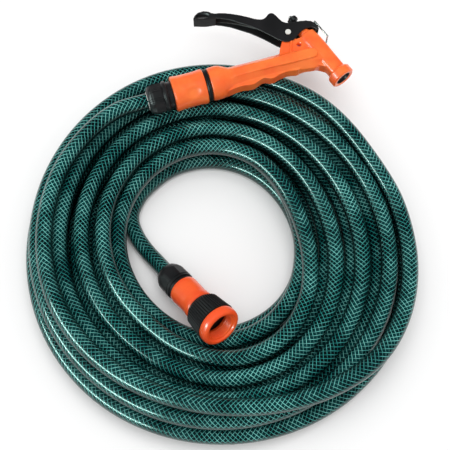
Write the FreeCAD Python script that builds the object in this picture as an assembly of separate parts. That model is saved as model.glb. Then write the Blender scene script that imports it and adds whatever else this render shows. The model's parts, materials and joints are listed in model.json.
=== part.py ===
import FreeCAD, Part
import math
import os
from FreeCAD import Placement, Rotation, Vector

# A braided garden hose in a loose coil, with a quick connector at each end,
# a threaded tap adaptor plugged into one and a trigger spray gun into the other.
# Millimetres. While the pieces are made, the coil's centre is at x = y = 0 and
# the floor is z = 0; at the end all of it is centred over the origin.

os.makedirs("parts", exist_ok=True)

# Clearances
RUN = 0.08          # a turning or sliding fit, on the radius
SEAT = 0.05         # pieces that are pushed or screwed together, on the radius
FACE = 0.3          # between faces that stand off each other
REST = 0.35         # between a piece and the hose that carries it

# Hose
HOSE_D = 16.0
HOSE_BORE_D = 12.5
HOSE_SIDES = 8
GRIP_LENGTH = 14.0  # hose inside a clamping nut
FLAT_DEPTH = HOSE_D / 10.0
COIL_GAP = 0.6      # between one layer of turns and the next

# Coil: turns in each layer, and the centre line's radii every 45 degrees from +X
START_ANGLE = 135.0
TURNS_LOWER = 5.25
TURNS_MIDDLE = 4.0
TURNS_UPPER = 4.0
OUTER_RADII = (178.0, 166.0, 173.0, 181.5, 186.0, 189.5, 188.0, 187.0)
INNER_RADII_LOWER = (69.0, 71.0, 81.0, 92.0, 97.5, 92.0, 81.0, 75.0)
INNER_RADII_UPPER = (70.0, 75.0, 89.0, 99.0, 103.0, 101.0, 99.5, 84.0)
# The free stretch: direction in degrees, depth inside the outline, layers up
FREE_STRETCH = ((18.0, 1.0, 0.0), (4.0, -1.5, 0.0), (-11.0, -5.0, 0.1), (-26.0, -4.5, 0.3), (-41.0, 0.0, 0.65),
                (-57.0, 8.0, 1.0), (-73.0, 15.5, 1.0), (-90.0, 21.0, 1.0), (-107.0, 23.0, 1.0),
                (-124.0, 22.0, 1.0), (-141.0, 19.5, 1.0), (-158.0, 17.0, 1.0), (-175.0, 16.5, 1.0),
                (-191.0, 16.0, 1.0), (-207.0, 16.0, 1.05))
FRONT_BULGE = 20.0  # the upper layer stands back where the adaptor lies
BULGE_SKEW = 1.5
END_STRAIGHT = HOSE_D
KNEE_RUN = 30.0     # from the tap connector down to the lower layer
KNEE_TURN = 25.0

# Quick connectors
BARB_D = 12.4
BARB_LENGTH = 13.0
WATERWAY_D = 9.0
NUT_LENGTH = 23.5
NUT_D = 29.6
NUT_TAIL_D = 21.0
NUT_FACETS = 8
THREAD_D = 23.9
COLLET_FINGERS = 6
COLLET_SLOT = 1.4
SLEEVE_TRAVEL = 3.25
SOCKET_DEPTH = 14.5
SPIGOT_D = 15.9
BARREL_WALL = 3.75
SPRING_WIRE = 1.2
SPIGOT_NOSE_D = 13.6
SPIGOT_NOSE_LENGTH = 9.5
RIM_WIDTH = 1.8
CLAWS = 3
CLAW_WIDTH = 6.4
CLAW_LENGTH = 2.4
CLAW_PLACE = 10.4   # back face of the claws, behind the coupling plane
CLAW_TRAVEL = 1.3
GROOVE_DEPTH = 1.2
O_RING_WIRE = 2.0
SPIGOT_BORE_D = 7.6
GUN_SLEEVE_LENGTH = 36.8
GUN_SLEEVE_WALL = 3.45
TAP_SLEEVE_LENGTH = 29.0
TAP_SLEEVE_WALL = 1.65
DIMPLE_DEPTH = 0.9

# Tap adaptor, threaded G 3/4
TAP_THREAD_D = 24.12
TAP_MOUTH_D = 26.8
TAP_THREAD_LENGTH = 11.2
ADAPTOR_LENGTH = 22.6
ADAPTOR_BACK_D = 36.0
ADAPTOR_FRONT_D = 40.4
ADAPTOR_RIBS = 48
RIB_DEPTH = 0.8
INSERT_D = 33.0
INSERT_RING_D = 42.0
INSERT_RING_LENGTH = 8.9
WASHER_THICKNESS = 2.6
WASHER_LIP = 0.8    # its recess is that much wider than the thread

# Spray gun, in its own plane: x along the handle, y towards the lever
COLLAR_D = 32.0
COLLAR_LENGTH = 20.0
HANDLE_THICKNESS = 24.0
BARREL_TURN = -70.0
BARREL_R = 9.0
PIVOT = (89.5, 29.4)
PIVOT_TO_STEM = 15.65
PIN_D = 4.0
PIN_HEAD_D = 5.6
BARREL_TOP = -10.0      # along the stem, from the point nearest the pivot
BARREL_FRONT = -66.0
CHAMBER_D = 13.0
SEAT_BORE_D = 7.0
STEM_D = 4.0
GLAND_D = 11.6
GLAND_TOP = -3.0
NUT_SEAT = 8.0
ADJUST_D = 10.4
ADJUST_LENGTH = 6.5
PAD_R = 2.5
MUZZLE_D = 24.3
MUZZLE_LENGTH = 10.0
TIP_D = 15.4
LEVER_WIDTH = 17.0
LEVER_WALL = 2.2
EAR_THICKNESS = 12.0
WIRE_D = 1.6

# Where the two ends lie
GUN_PLACE = (-14.0, 143.3)
GUN_HEADING = 16.5
ADAPTOR_FRONT_POINT = (-1.5, -96.0, 52.6)
ADAPTOR_HEADING = -49.0
ADAPTOR_TILT = 24.5

# Diameters in the connectors that follow from the spigot's
BARREL_D = SPIGOT_D + 2.0 * BARREL_WALL
SPRING_D = BARREL_D + 1.0
SLEEVE_BORE_D = SPRING_D + SPRING_WIRE + 1.1
NECK_D = SLEEVE_BORE_D - 0.3
RIM_D = BARREL_D + 5.6
CONE_START_D = BARREL_D + 0.8
GUN_SLEEVE_D = SLEEVE_BORE_D + 2.0 * GUN_SLEEVE_WALL
TAP_SLEEVE_D = SLEEVE_BORE_D + 2.0 * TAP_SLEEVE_WALL

# Heights of the layers of turns
RADIUS = HOSE_D / 2.0
LAYER = HOSE_D + COIL_GAP
Z_LOWER = RADIUS - FLAT_DEPTH
Z_MIDDLE = Z_LOWER + LAYER
Z_UPPER = Z_MIDDLE + LAYER
COIL_TOP = Z_UPPER + RADIUS
GUN_AXIS_Z = COIL_TOP + REST + GUN_SLEEVE_D / 2.0

TOTAL_TURNS = TURNS_LOWER + TURNS_MIDDLE + TURNS_UPPER + 1.0
X_AXIS = Vector(1, 0, 0)
Z_AXIS = Vector(0, 0, 1)
ORIGIN = Vector(0, 0, 0)


# Helpers

def revolve(profile, sweep=360.0):
    """A solid of revolution about X from (place along X, radius) points."""
    points = [Vector(x, r, 0) for x, r in profile]
    face = Part.Face(Part.makePolygon(points + points[:1]))
    return face.revolve(ORIGIN, X_AXIS, sweep)


def rod(start, end, radius):
    """A cylinder about X between two places."""
    return Part.makeCylinder(radius, end - start, Vector(start, 0, 0), X_AXIS)


def plate(outline, low, high):
    """A flat outline in the XY plane, given thickness from low to high."""
    points = [Vector(x, y, low) for x, y in outline]
    face = Part.Face(Part.makePolygon(points + points[:1]))
    return face.extrude(Vector(0, 0, high - low))


def biarc(p0, t0, p1, t1):
    """Two arcs from p0 to p1 that share a tangent where they meet."""
    chord = p1 - p0
    both = t0 + t1
    spread = 2.0 * (1.0 - t0.dot(t1))
    along = chord.dot(both)
    if spread < 1e-9:
        reach = chord.dot(chord) / (4.0 * chord.dot(t1))
    else:
        reach = (math.sqrt(along * along + spread * chord.dot(chord)) - along) / spread
    q0 = p0 + t0 * reach
    q1 = p1 - t1 * reach
    middle = (q0 + q1) * 0.5
    return [tangent_arc(p0, q0, middle), tangent_arc(middle, q1, p1)]


def tangent_arc(start, corner, end):
    """The arc from start to end that touches both legs of their corner."""
    half = (end - start).Length / 2.0
    base = (start + end) * 0.5
    height = (corner - base).Length
    if height < 1e-7:
        return Part.LineSegment(start, end).toShape()
    rise = half * math.tan(math.atan2(height, half) / 2.0)
    top = base + (corner - base) * (rise / height)
    return Part.Arc(start, top, end).toShape()


def section_wire(centre, heading, radius, sides):
    """A round or many-sided section across a path, one side level."""
    if sides == 0:
        return Part.Wire(Part.makeCircle(radius, centre, heading))
    side = heading.cross(Z_AXIS).normalize()
    rise = side.cross(heading).normalize()
    points = []
    for i in range(sides + 1):
        turn = 2.0 * math.pi * (i % sides + 0.5) / sides
        points.append(centre + side * (radius * math.cos(turn)) + rise * (radius * math.sin(turn)))
    return Part.makePolygon(points)


def route_edges(route, name):
    """Straight runs joined by arcs, each as large as its two runs allow."""
    points = [Vector(*p) for p in route]
    edges = []
    radii = []
    last = points[0]
    for before, corner, after in zip(points, points[1:], points[2:]):
        run_in = corner - before
        run_out = after - corner
        turn = run_in.getAngle(run_out)
        reach = 0.45 * min(run_in.Length, run_out.Length)
        radii.append(reach / math.tan(turn / 2.0))
        first = corner - run_in.normalize() * reach
        second = corner + run_out.normalize() * reach
        edges.append(Part.LineSegment(last, first).toShape())
        edges.append(tangent_arc(first, corner, second))
        last = second
    edges.append(Part.LineSegment(last, points[-1]).toShape())
    print(name, "bend radii", " ".join("%.0f" % r for r in radii))
    return edges


def tube(edges, radius, sides, name):
    """A solid tube along edges; prints how its volume agrees with its length."""
    path = Part.Wire(edges)
    first = edges[0]
    heading = first.tangentAt(first.FirstParameter)
    section = section_wire(first.valueAt(first.FirstParameter), heading, radius, sides)
    solid = path.makePipeShell([section], True)
    expected = Part.Face(section).Area * path.Length
    print(name, "length %.0f volume ratio %.4f" % (path.Length, solid.Volume / expected))
    return solid


# The coil

def by_direction(radii, angle):
    """A radius that runs smoothly through evenly spaced values, the first at +X."""
    total = 0.0
    for i, radius in enumerate(radii):
        away = angle - 2.0 * math.pi * i / len(radii)
        waves = 1.0 + 2.0 * sum(math.cos(k * away) for k in range(1, len(radii) // 2))
        total += radius * (waves + math.cos(len(radii) // 2 * away)) / len(radii)
    return total


def coil_point(turn):
    """The centre line after so many turns: three layers, spiralling out, in and out."""
    angle = math.radians(START_ANGLE - 360.0 * turn)
    outer = by_direction(OUTER_RADII, angle)
    middle_start = TURNS_LOWER + 0.5
    middle_end = middle_start + TURNS_MIDDLE
    upper_start = middle_end + 0.5
    height = Z_LOWER
    if turn < TURNS_LOWER:
        inner = by_direction(INNER_RADII_LOWER, angle)
        outward = turn / TURNS_LOWER
    elif turn < middle_start:
        inner = 0.0
        outward = 1.0
        height += LAYER * climb((turn - TURNS_LOWER) * 2.0)
    elif turn < middle_end:
        inner = by_direction(INNER_RADII_UPPER, angle)
        outward = 1.0 - (turn - middle_start) / TURNS_MIDDLE
        height += LAYER
    elif turn < upper_start:
        inner = by_direction(INNER_RADII_UPPER, angle)
        outward = 0.0
        height += LAYER * (1.0 + climb((turn - middle_end) * 2.0))
    else:
        inner = by_direction(INNER_RADII_UPPER, angle) + bulge(turn - upper_start)
        outward = (turn - upper_start) / TURNS_UPPER
        height += 2.0 * LAYER
    radius = inner + (outer - inner) * outward
    return Vector(radius * math.cos(angle), radius * math.sin(angle), height)


def free_point(degrees, inset, rise):
    """A place in the free stretch: so far inside the coil's outline, so many layers up."""
    angle = math.radians(degrees)
    radius = by_direction(OUTER_RADII, angle) - inset
    return (radius * math.cos(angle), radius * math.sin(angle), Z_UPPER + LAYER * rise)


def climb(part):
    """A smooth rise from 0 to 1."""
    return 0.5 - 0.5 * math.cos(math.pi * min(max(part, 0.0), 1.0))


def bulge(turns_since):
    """Extra inner radius over the front half of each turn of the upper layer."""
    part = ((turns_since % 1.0) * 2.0) ** BULGE_SKEW
    return FRONT_BULGE * math.sin(math.pi * part) ** 2 if part < 1.0 else 0.0


def coil_heading(turn):
    step = 0.01
    return (coil_point(turn + step) - coil_point(turn - step)).normalize()


def flatten(vector):
    return Vector(vector.x, vector.y, 0).normalize()


def coil_edges(nut_mouth, hose_end, nut_heading):
    """The hose from its seat in the tap connector's nut to the end of the coil."""
    approach = flatten(nut_heading * -1.0)
    knee_heading = Rotation(Z_AXIS, -KNEE_TURN).multVec(approach)
    knee = nut_mouth + Rotation(Z_AXIS, -KNEE_TURN / 2.0).multVec(approach) * KNEE_RUN
    knee.z = Z_LOWER
    quarters = int(round(TOTAL_TURNS * 4))
    knots = [0.0] + [0.25 * i + 0.125 for i in range(quarters)] + [TOTAL_TURNS]
    points = [nut_mouth, knee] + [coil_point(k) for k in knots]
    headings = [nut_heading * -1.0, knee_heading] + [coil_heading(k) for k in knots]
    headings[-1] = flatten(headings[-1])
    end = points[-1] + headings[-1] * END_STRAIGHT
    edges = [Part.LineSegment(hose_end, nut_mouth).toShape()]
    for i in range(len(points) - 1):
        edges += biarc(points[i], headings[i], points[i + 1], headings[i + 1])
    edges.append(Part.LineSegment(points[-1], end).toShape())
    return edges, end, headings[-1]


def sample(edges, step):
    """Points about a step apart along a list of edges."""
    points = []
    for edge in edges:
        count = max(2, int(edge.Length / step) + 1)
        points += edge.discretize(Number=count)[:-1]
    return points


def least_gap(points, others, skip):
    """Least gap between two sampled hoses, or one and itself with skip neighbours."""
    least = 1e9
    for i, p in enumerate(points):
        start = i + skip if others is points else 0
        for q in others[start:]:
            dx = p.x - q.x
            dy = p.y - q.y
            dz = p.z - q.z
            square = dx * dx + dy * dy + dz * dz
            if square < least:
                least = square
    return math.sqrt(least) - HOSE_D


# Frames of the two ends

def frame(origin, heading, tilt):
    """A placement whose X runs along a heading, tilted up from the level."""
    turn = Rotation(Z_AXIS, heading).multiply(Rotation(Vector(0, 1, 0), -tilt))
    return Placement(Vector(*origin), turn)


def along(place, x, y=0.0, z=0.0):
    return place.multVec(Vector(x, y, z))


ADAPTOR_TOTAL = ADAPTOR_LENGTH + FACE + INSERT_RING_LENGTH
gun_frame = frame(GUN_PLACE + (GUN_AXIS_Z,), GUN_HEADING, 0.0)
tap_heading = frame((0, 0, 0), ADAPTOR_HEADING, ADAPTOR_TILT).multVec(X_AXIS)
tap_origin = Vector(*ADAPTOR_FRONT_POINT) - tap_heading * ADAPTOR_TOTAL
tap_frame = frame(tuple(tap_origin), ADAPTOR_HEADING, ADAPTOR_TILT)


# Quick connector, along X with its coupling plane at x = 0 and the hose at -X

SLEEVE_FRONT = -(FACE + RIM_WIDTH + 0.2)
CLAW_BACK = -CLAW_PLACE
CLAW_FRONT = CLAW_BACK + CLAW_LENGTH
CONE_SLOPE = CLAW_TRAVEL / SLEEVE_TRAVEL
SHOULDER = CLAW_BACK - 4.0
SPIGOT_END = -(SOCKET_DEPTH + SPIGOT_NOSE_LENGTH)


def connector_places(sleeve_length):
    """Places along X that follow from the length of the sleeve."""
    sleeve_back = SLEEVE_FRONT - sleeve_length
    nut_front = sleeve_back - SLEEVE_TRAVEL - FACE
    return {"sleeve_back": sleeve_back,
            "nut_front": nut_front,
            "nut_back": nut_front - NUT_LENGTH,
            "hose_end": nut_front - NUT_LENGTH + GRIP_LENGTH,
            "neck_front": sleeve_back + 1.5}


def make_nut(places):
    """The domed clamping nut, with flats and two grip rings round its front."""
    back = places["nut_back"]
    front = places["nut_front"]
    r = NUT_D / 2.0
    inner_back = RADIUS + 0.4
    bore = THREAD_D / 2.0 + SEAT
    stop = places["hose_end"]
    outside = [(back, NUT_TAIL_D / 2.0), (back + 1.2, NUT_TAIL_D / 2.0 + 1.3),
               (back + 4.5, r - 1.3), (back + 8.0, r - 0.2), (back + 10.0, r),
               (front - 3.2, r), (front - 2.8, r - 0.7), (front - 2.2, r - 0.7),
               (front - 1.8, r - 0.1), (front - 0.4, r - 0.1), (front, r - 0.6)]
    inside = [(front, bore), (stop, bore), (back + 2.0, inner_back), (back, inner_back)]
    body = revolve(outside + inside)
    flats = Part.makePolygon([Vector(back - 1, 1.045 * r * math.cos(a), 1.045 * r * math.sin(a))
                              for a in [2 * math.pi * (i + 0.5) / NUT_FACETS
                                        for i in range(NUT_FACETS + 1)]])
    prism = Part.Face(flats).extrude(Vector(NUT_LENGTH - 2.2, 0, 0))
    cap = rod(front - 3.2, front + 1.0, r + 1.0)
    return body.common(prism.fuse(cap))


def make_collet(places):
    """Split fingers that the nut squeezes round the hose."""
    back = places["nut_back"] + 3.0
    front = places["hose_end"] - FACE
    slope_r = THREAD_D / 2.0 + SEAT - (RADIUS + 0.4)
    slope_x = places["hose_end"] - places["nut_back"] - 2.0
    inner = RADIUS + SEAT

    def cone(x):
        return RADIUS + 0.4 + slope_r * (x - places["nut_back"] - 2.0) / slope_x - SEAT

    ring = revolve([(back, inner), (back, cone(back)), (front, cone(front)), (front, inner)])
    for i in range(COLLET_FINGERS):
        slot = Part.makeBox(front - back, NUT_D, COLLET_SLOT, Vector(back - 2.0, 0, -COLLET_SLOT / 2.0))
        slot.rotate(ORIGIN, X_AXIS, 360.0 * i / COLLET_FINGERS)
        ring = ring.cut(slot)
    return ring


def make_core(places):
    """Barbed tail, threaded shoulder, neck and the barrel that takes the spigot."""
    stop = places["hose_end"]
    nut_front = places["nut_front"]
    neck_front = places["neck_front"]
    tip = stop - BARB_LENGTH
    barb = BARB_D / 2.0
    water = WATERWAY_D / 2.0
    outside = [(tip, barb - 1.0), (tip + 1.5, barb)]
    for i in range(3):
        x = tip + 1.5 + 3.2 * (i + 1)
        outside += [(x - 0.4, barb - 0.5), (x, barb)]
    outside += [(stop, barb), (stop, THREAD_D / 2.0), (nut_front + FACE, THREAD_D / 2.0),
                (nut_front + FACE, NECK_D / 2.0), (neck_front, NECK_D / 2.0),
                (neck_front, BARREL_D / 2.0 - 0.5), (SHOULDER, BARREL_D / 2.0 - 0.5),
                (SHOULDER, BARREL_D / 2.0), (-FACE - RIM_WIDTH, BARREL_D / 2.0),
                (-FACE - RIM_WIDTH, RIM_D / 2.0 - 0.5), (-FACE - RIM_WIDTH + 0.5, RIM_D / 2.0),
                (-FACE - 0.5, RIM_D / 2.0), (-FACE, RIM_D / 2.0 - 0.5)]
    socket = SPIGOT_D / 2.0 + RUN
    nose = SPIGOT_NOSE_D / 2.0 + 0.35
    inside = [(-FACE, socket), (-SOCKET_DEPTH - 0.4, socket), (-SOCKET_DEPTH - 0.4, nose),
              (SPIGOT_END - 0.6, nose), (SPIGOT_END - 0.6, water), (tip, water)]
    core = revolve(outside + inside)
    for i in range(CLAWS):
        window = Part.makeBox(CLAW_LENGTH + 0.2, CLAW_WIDTH + 0.2, BARREL_D,
                              Vector(CLAW_BACK - 0.1, -CLAW_WIDTH / 2.0 - 0.1, 0))
        window.rotate(ORIGIN, X_AXIS, 360.0 * i / CLAWS)
        core = core.cut(window)
    return core


def make_sleeve(places, diameter, dimple):
    """The release sleeve: its cone lets the claws out as it is drawn back."""
    back = places["sleeve_back"]
    r = diameter / 2.0
    bore = SLEEVE_BORE_D / 2.0
    bearing = BARREL_D / 2.0 + RUN
    cone_end = CLAW_FRONT + SLEEVE_TRAVEL
    cone_r = CONE_START_D / 2.0 + CONE_SLOPE * (cone_end - CLAW_BACK)
    front = SLEEVE_FRONT
    outside = [(back, r - 1.4), (back + 0.8, r - 0.5), (back + 3.0, r - 0.2), (front - 9.0, r - 0.6),
               (front - 3.5, r), (front - 1.0, r), (front, r - 0.8)]
    inside = [(front, bearing), (front - 2.0, bearing), (front - 2.0, cone_r), (cone_end, cone_r),
              (CLAW_BACK, CONE_START_D / 2.0), (CLAW_BACK, bearing), (SHOULDER, bearing),
              (SHOULDER, bore), (back, bore)]
    sleeve = revolve(outside + inside)
    if dimple:
        middle = (front + back) / 2.0 + 2.0
        pad_r = 26.0
        for side in (1, -1):
            ball = Part.makeSphere(pad_r, Vector(middle, 0, side * (r + pad_r - DIMPLE_DEPTH)))
            ball.rotate(Vector(middle, 0, 0), X_AXIS, 18.0)
            sleeve = sleeve.cut(ball)
    return sleeve


def make_claw(index):
    """A locking claw: its inner edge stands in the spigot's groove."""
    inner = SPIGOT_D / 2.0 - GROOVE_DEPTH + 0.05
    half = CLAW_WIDTH / 2.0
    block = Part.makeBox(CLAW_LENGTH, CLAW_WIDTH, BARREL_D, Vector(CLAW_BACK, -half, 0))
    hollow = rod(CLAW_BACK - 1.0, CLAW_FRONT + 1.0, inner)
    top = CONE_START_D / 2.0 - 0.1
    cone = revolve([(CLAW_BACK, 0), (CLAW_BACK, top), (CLAW_FRONT, top + CONE_SLOPE * CLAW_LENGTH),
                    (CLAW_FRONT, 0)])
    claw = block.common(cone).cut(hollow)
    claw.rotate(ORIGIN, X_AXIS, 360.0 * index / CLAWS)
    return claw


def make_spring(start, end, diameter, wire, turns):
    """A compression spring of square wire about X, each quarter turn a pair of arcs."""
    r = diameter / 2.0
    pitch = (end - start - wire - 0.6) / turns
    low = start + wire / 2.0 + 0.3

    def point(quarter):
        a = math.pi / 2.0 * quarter
        return Vector(low + pitch * quarter / 4.0, r * math.cos(a), r * math.sin(a))

    def heading(quarter):
        a = math.pi / 2.0 * quarter
        lead = pitch / (2.0 * math.pi)
        return Vector(lead, -r * math.sin(a), r * math.cos(a)).normalize()

    edges = []
    for i in range(int(turns * 4)):
        edges += biarc(point(i), heading(i), point(i + 1), heading(i + 1))
    first = point(0)
    rise = heading(0).cross(X_AXIS).normalize()
    side = rise.cross(heading(0)).normalize()
    half = wire / 2.0
    corners = [(-half, -half), (half, -half), (half, half), (-half, half), (-half, -half)]
    section = Part.makePolygon([first + side * a + rise * b for a, b in corners])
    return Part.Wire(edges).makePipeShell([section], True)


def make_o_ring(place, inner, wire):
    """A rubber ring of round section about X, slightly flattened by its groove."""
    ring = Part.makeTorus(inner + wire / 2.0, wire / 2.0, Vector(place, 0, 0), X_AXIS)
    return ring


def spigot_profile(flange_r, front):
    """Outside of a quick coupling spigot, from its nose to the flange at x = front."""
    r = SPIGOT_D / 2.0
    nose = SPIGOT_NOSE_D / 2.0
    groove = nose + 0.35 - RUN - O_RING_WIRE
    ring = SPIGOT_END + 4.5
    half = O_RING_WIRE / 2.0 + 0.15
    lock = r - GROOVE_DEPTH - 0.15
    return [(SPIGOT_END, nose - 0.8), (SPIGOT_END + 0.8, nose), (ring - half, nose),
            (ring - half, groove), (ring + half, groove), (ring + half, nose),
            (-SOCKET_DEPTH, nose), (-SOCKET_DEPTH, r - 0.4), (-SOCKET_DEPTH + 0.4, r),
            (CLAW_BACK - 0.4, r), (CLAW_BACK - 0.4, lock), (CLAW_FRONT + 0.4, lock),
            (CLAW_FRONT + 0.4, r), (front, r), (front, flange_r)]


def make_spigot_ring():
    nose = SPIGOT_NOSE_D / 2.0
    outer = nose + 0.35 - RUN
    return make_o_ring(SPIGOT_END + 4.5, outer - O_RING_WIRE, O_RING_WIRE)


def add_connector(parts, prefix, place, sleeve_length, sleeve_d, dimple):
    places = connector_places(sleeve_length)
    made = {"_hose_nut": make_nut(places),
            "_collet": make_collet(places),
            "_core": make_core(places),
            "_release_sleeve": make_sleeve(places, sleeve_d, dimple),
            "_sleeve_spring": make_spring(places["neck_front"], SHOULDER, SPRING_D, SPRING_WIRE, 3.5)}
    for i in range(CLAWS):
        made["_claw_%d" % (i + 1)] = make_claw(i)
    for name, shape in made.items():
        shape.Placement = place.multiply(shape.Placement)
        parts[prefix + name] = shape
    return places


# Tap adaptor, along X from the coupling plane

def ribbed_ring(start, end, start_d, end_d, ribs, depth):
    """A tapering ring with pointed lengthwise ribs, ruled from end to end."""
    wires = []
    for x, d in ((start, start_d), (end, end_d)):
        points = []
        for i in range(2 * ribs + 1):
            a = math.pi * (i % (2 * ribs)) / ribs
            r = d / 2.0 - (depth if i % 2 else 0.0)
            points.append(Vector(x, r * math.cos(a), r * math.sin(a)))
        wires.append(Part.makePolygon(points))
    return Part.makeLoft(wires, True, True)


def make_adaptor_body():
    """Ribbed nut of the adaptor with the spigot that plugs into the connector."""
    well = 8.0
    pocket = INSERT_D / 2.0 + SEAT
    shoulder = spigot_profile(12.0, 0.0)
    inside = [(2.5, 12.0), (2.5, SPIGOT_BORE_D / 2.0), (SPIGOT_END, SPIGOT_BORE_D / 2.0)]
    spigot = revolve(shoulder + inside)
    flange = revolve([(0, SPIGOT_BORE_D / 2.0), (0, ADAPTOR_BACK_D / 2.0 - 2.4), (1.6, ADAPTOR_BACK_D / 2.0 - 1.2),
                      (3.0, ADAPTOR_BACK_D / 2.0 - 1.2), (3.0, SPIGOT_BORE_D / 2.0)])
    ring = ribbed_ring(1.8, ADAPTOR_LENGTH, ADAPTOR_BACK_D, ADAPTOR_FRONT_D, ADAPTOR_RIBS, RIB_DEPTH)
    body = ring.fuse([flange, spigot])
    body = body.cut(rod(well, ADAPTOR_LENGTH + 1.0, pocket))
    return body.cut(rod(SPIGOT_END - 1.0, well + 1.0, SPIGOT_BORE_D / 2.0))


def make_insert():
    """The threaded ring in the mouth of the adaptor, with a rounded front collar."""
    well = 8.0
    start = ADAPTOR_LENGTH + FACE
    end = start + INSERT_RING_LENGTH
    r = INSERT_RING_D / 2.0
    thread = TAP_THREAD_D / 2.0
    mouth = TAP_MOUTH_D / 2.0
    outside = [(well + SEAT, INSERT_D / 2.0), (start, INSERT_D / 2.0), (start, r - 1.2),
               (start + 0.5, r - 0.4), (start + 1.6, r), (end - 2.6, r), (end - 1.0, r - 0.5),
               (end - 0.2, r - 1.6), (end, r - 2.8)]
    foot = end - 4.4 - TAP_THREAD_LENGTH
    recess = foot - WASHER_THICKNESS - 2.0 * SEAT
    inside = [(end - 1.4, mouth + 1.2), (end - 3.0, mouth), (end - 4.4, thread), (foot, thread),
              (foot, thread + WASHER_LIP), (recess, thread + WASHER_LIP), (recess, 6.6),
              (well + SEAT, 6.6)]
    return revolve(outside + inside), foot + TAP_THREAD_LENGTH / 2.0


def make_washer():
    top = ADAPTOR_TOTAL - 4.4 - TAP_THREAD_LENGTH - SEAT
    rim = TAP_THREAD_D / 2.0 + WASHER_LIP - SEAT
    return revolve([(top - WASHER_THICKNESS, 6.8), (top - WASHER_THICKNESS, rim), (top, rim), (top, 6.8)])


# Spray gun

BARREL_DIR = Vector(math.cos(math.radians(BARREL_TURN)), math.sin(math.radians(BARREL_TURN)), 0)
STEM_UP = BARREL_DIR * -1.0
SIDEWAYS = Vector(-BARREL_DIR.y, BARREL_DIR.x, 0)
STEM_FOOT = Vector(PIVOT[0], PIVOT[1], 0) + SIDEWAYS * PIVOT_TO_STEM
stem_frame = Placement(STEM_FOOT, Rotation(X_AXIS, STEM_UP))


def on_stem(shape):
    """Puts a piece made along X onto the axis of the barrel and stem."""
    shape.Placement = stem_frame.multiply(shape.Placement)
    return shape


def handle_section(x, y, width, thickness):
    """An oval across the handle, as a wire."""
    points = []
    for i in range(16):
        a = math.pi * i / 8.0
        points.append(Vector(x, y + width / 2.0 * math.cos(a), thickness / 2.0 * math.sin(a)))
    curve = Part.BSplineCurve()
    curve.interpolate(Points=points, PeriodicFlag=True)
    return Part.Wire(curve.toShape())


def make_gun_body():
    """Collar, handle with its finger ridge, barrel, lever ears and the web behind them."""
    collar_r = COLLAR_D / 2.0
    collar = revolve([(0, 0), (0, collar_r - 0.8), (0.8, collar_r), (COLLAR_LENGTH - 5.0, collar_r - 0.5),
                      (COLLAR_LENGTH - 2.0, collar_r - 2.2), (COLLAR_LENGTH, collar_r - 4.5), (COLLAR_LENGTH, 0)])
    t = HANDLE_THICKNESS
    sections = [handle_section(COLLAR_LENGTH - 4.0, 0.0, 26.0, t + 1.0),
                handle_section(COLLAR_LENGTH + 12.0, 1.2, 21.5, t),
                handle_section(58.0, 1.6, 20.5, t),
                handle_section(84.0, 0.8, 23.0, t - 1.0),
                handle_section(104.0, -1.0, 27.0, t - 4.0)]
    handle = Part.makeLoft(sections, True, False)
    ridge = plate([(COLLAR_LENGTH - 2.0, 0.0), (COLLAR_LENGTH - 2.0, 11.0), (50.0, 13.4), (78.0, 14.2),
                   (100.0, 12.0), (104.0, 0.0)], -4.0, 4.0)
    flange_points = [(12.0, -9.0), (12.0, -14.6), (22.0, -13.2), (31.0, -13.4), (39.5, -15.4), (45.5, -14.6),
                     (51.0, -12.4), (57.0, -13.4), (63.0, -15.2), (68.5, -13.8), (74.0, -11.0), (79.0, -12.8),
                     (84.0, -15.6), (90.0, -14.4), (96.0, -12.2), (104.0, -12.6), (110.0, -17.4), (113.4, -24.8),
                     (121.0, -22.0), (121.0, -4.0), (60.0, 0.0)]
    flange = plate(flange_points, -5.0, 5.0)
    ear = plate([(74.5, 6.0), (82.4, 24.5), (84.6, 30.5), (87.5, 34.2), (91.5, 34.2), (94.4, 30.6),
                 (93.0, 22.0), (93.6, 17.0), (99.6, 17.0), (101.0, 20.0), (108.0, 21.0), (108.0, 4.0)],
                -EAR_THICKNESS / 2.0, EAR_THICKNESS / 2.0)
    spy_hole = Part.makeCylinder(1.7, EAR_THICKNESS + 2.0, Vector(97.2, 13.4, -EAR_THICKNESS / 2.0 - 1.0))
    barrel = on_stem(revolve([(BARREL_FRONT, 0), (BARREL_FRONT, BARREL_R - 0.6), (BARREL_FRONT + 6.6, BARREL_R - 0.6),
                              (BARREL_FRONT + 7.4, BARREL_R + 0.2), (-40.0, BARREL_R + 0.4),
                              (-20.0, BARREL_R + 0.2), (BARREL_TOP - 1.4, BARREL_R), (BARREL_TOP, BARREL_R - 1.4),
                              (BARREL_TOP, 0)]))
    body = handle.fuse([collar, ridge, flange, ear, barrel]).removeSplitter()
    chamber = on_stem(rod(-52.0, BARREL_TOP + 1.0, CHAMBER_D / 2.0))
    seat = on_stem(rod(BARREL_FRONT - 1.0, -51.0, SEAT_BORE_D / 2.0))
    tail = rod(-1.0, 14.0, SPIGOT_D / 2.0 + SEAT)
    channel = rod(13.0, 98.0, 4.5)
    elbow = Part.makeCylinder(4.5, 22.0, Vector(96.0, 0, 0), Vector(1.0, -0.35, 0))
    pin_hole = Part.makeCylinder(PIN_D / 2.0 + RUN, EAR_THICKNESS + 2.0,
                                 Vector(PIVOT[0], PIVOT[1], -EAR_THICKNESS / 2.0 - 1.0))
    for tool in (chamber, seat, tail, channel, elbow, pin_hole, spy_hole):
        body = body.cut(tool)
    return body


def make_gun_spigot():
    """The plug in the gun's collar that the connector's claws hold."""
    stub = SPIGOT_D / 2.0
    profile = spigot_profile(stub, 0.0)[:-1]
    profile += [(13.6, stub), (13.6, SPIGOT_BORE_D / 2.0), (SPIGOT_END, SPIGOT_BORE_D / 2.0)]
    return revolve(profile)


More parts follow.
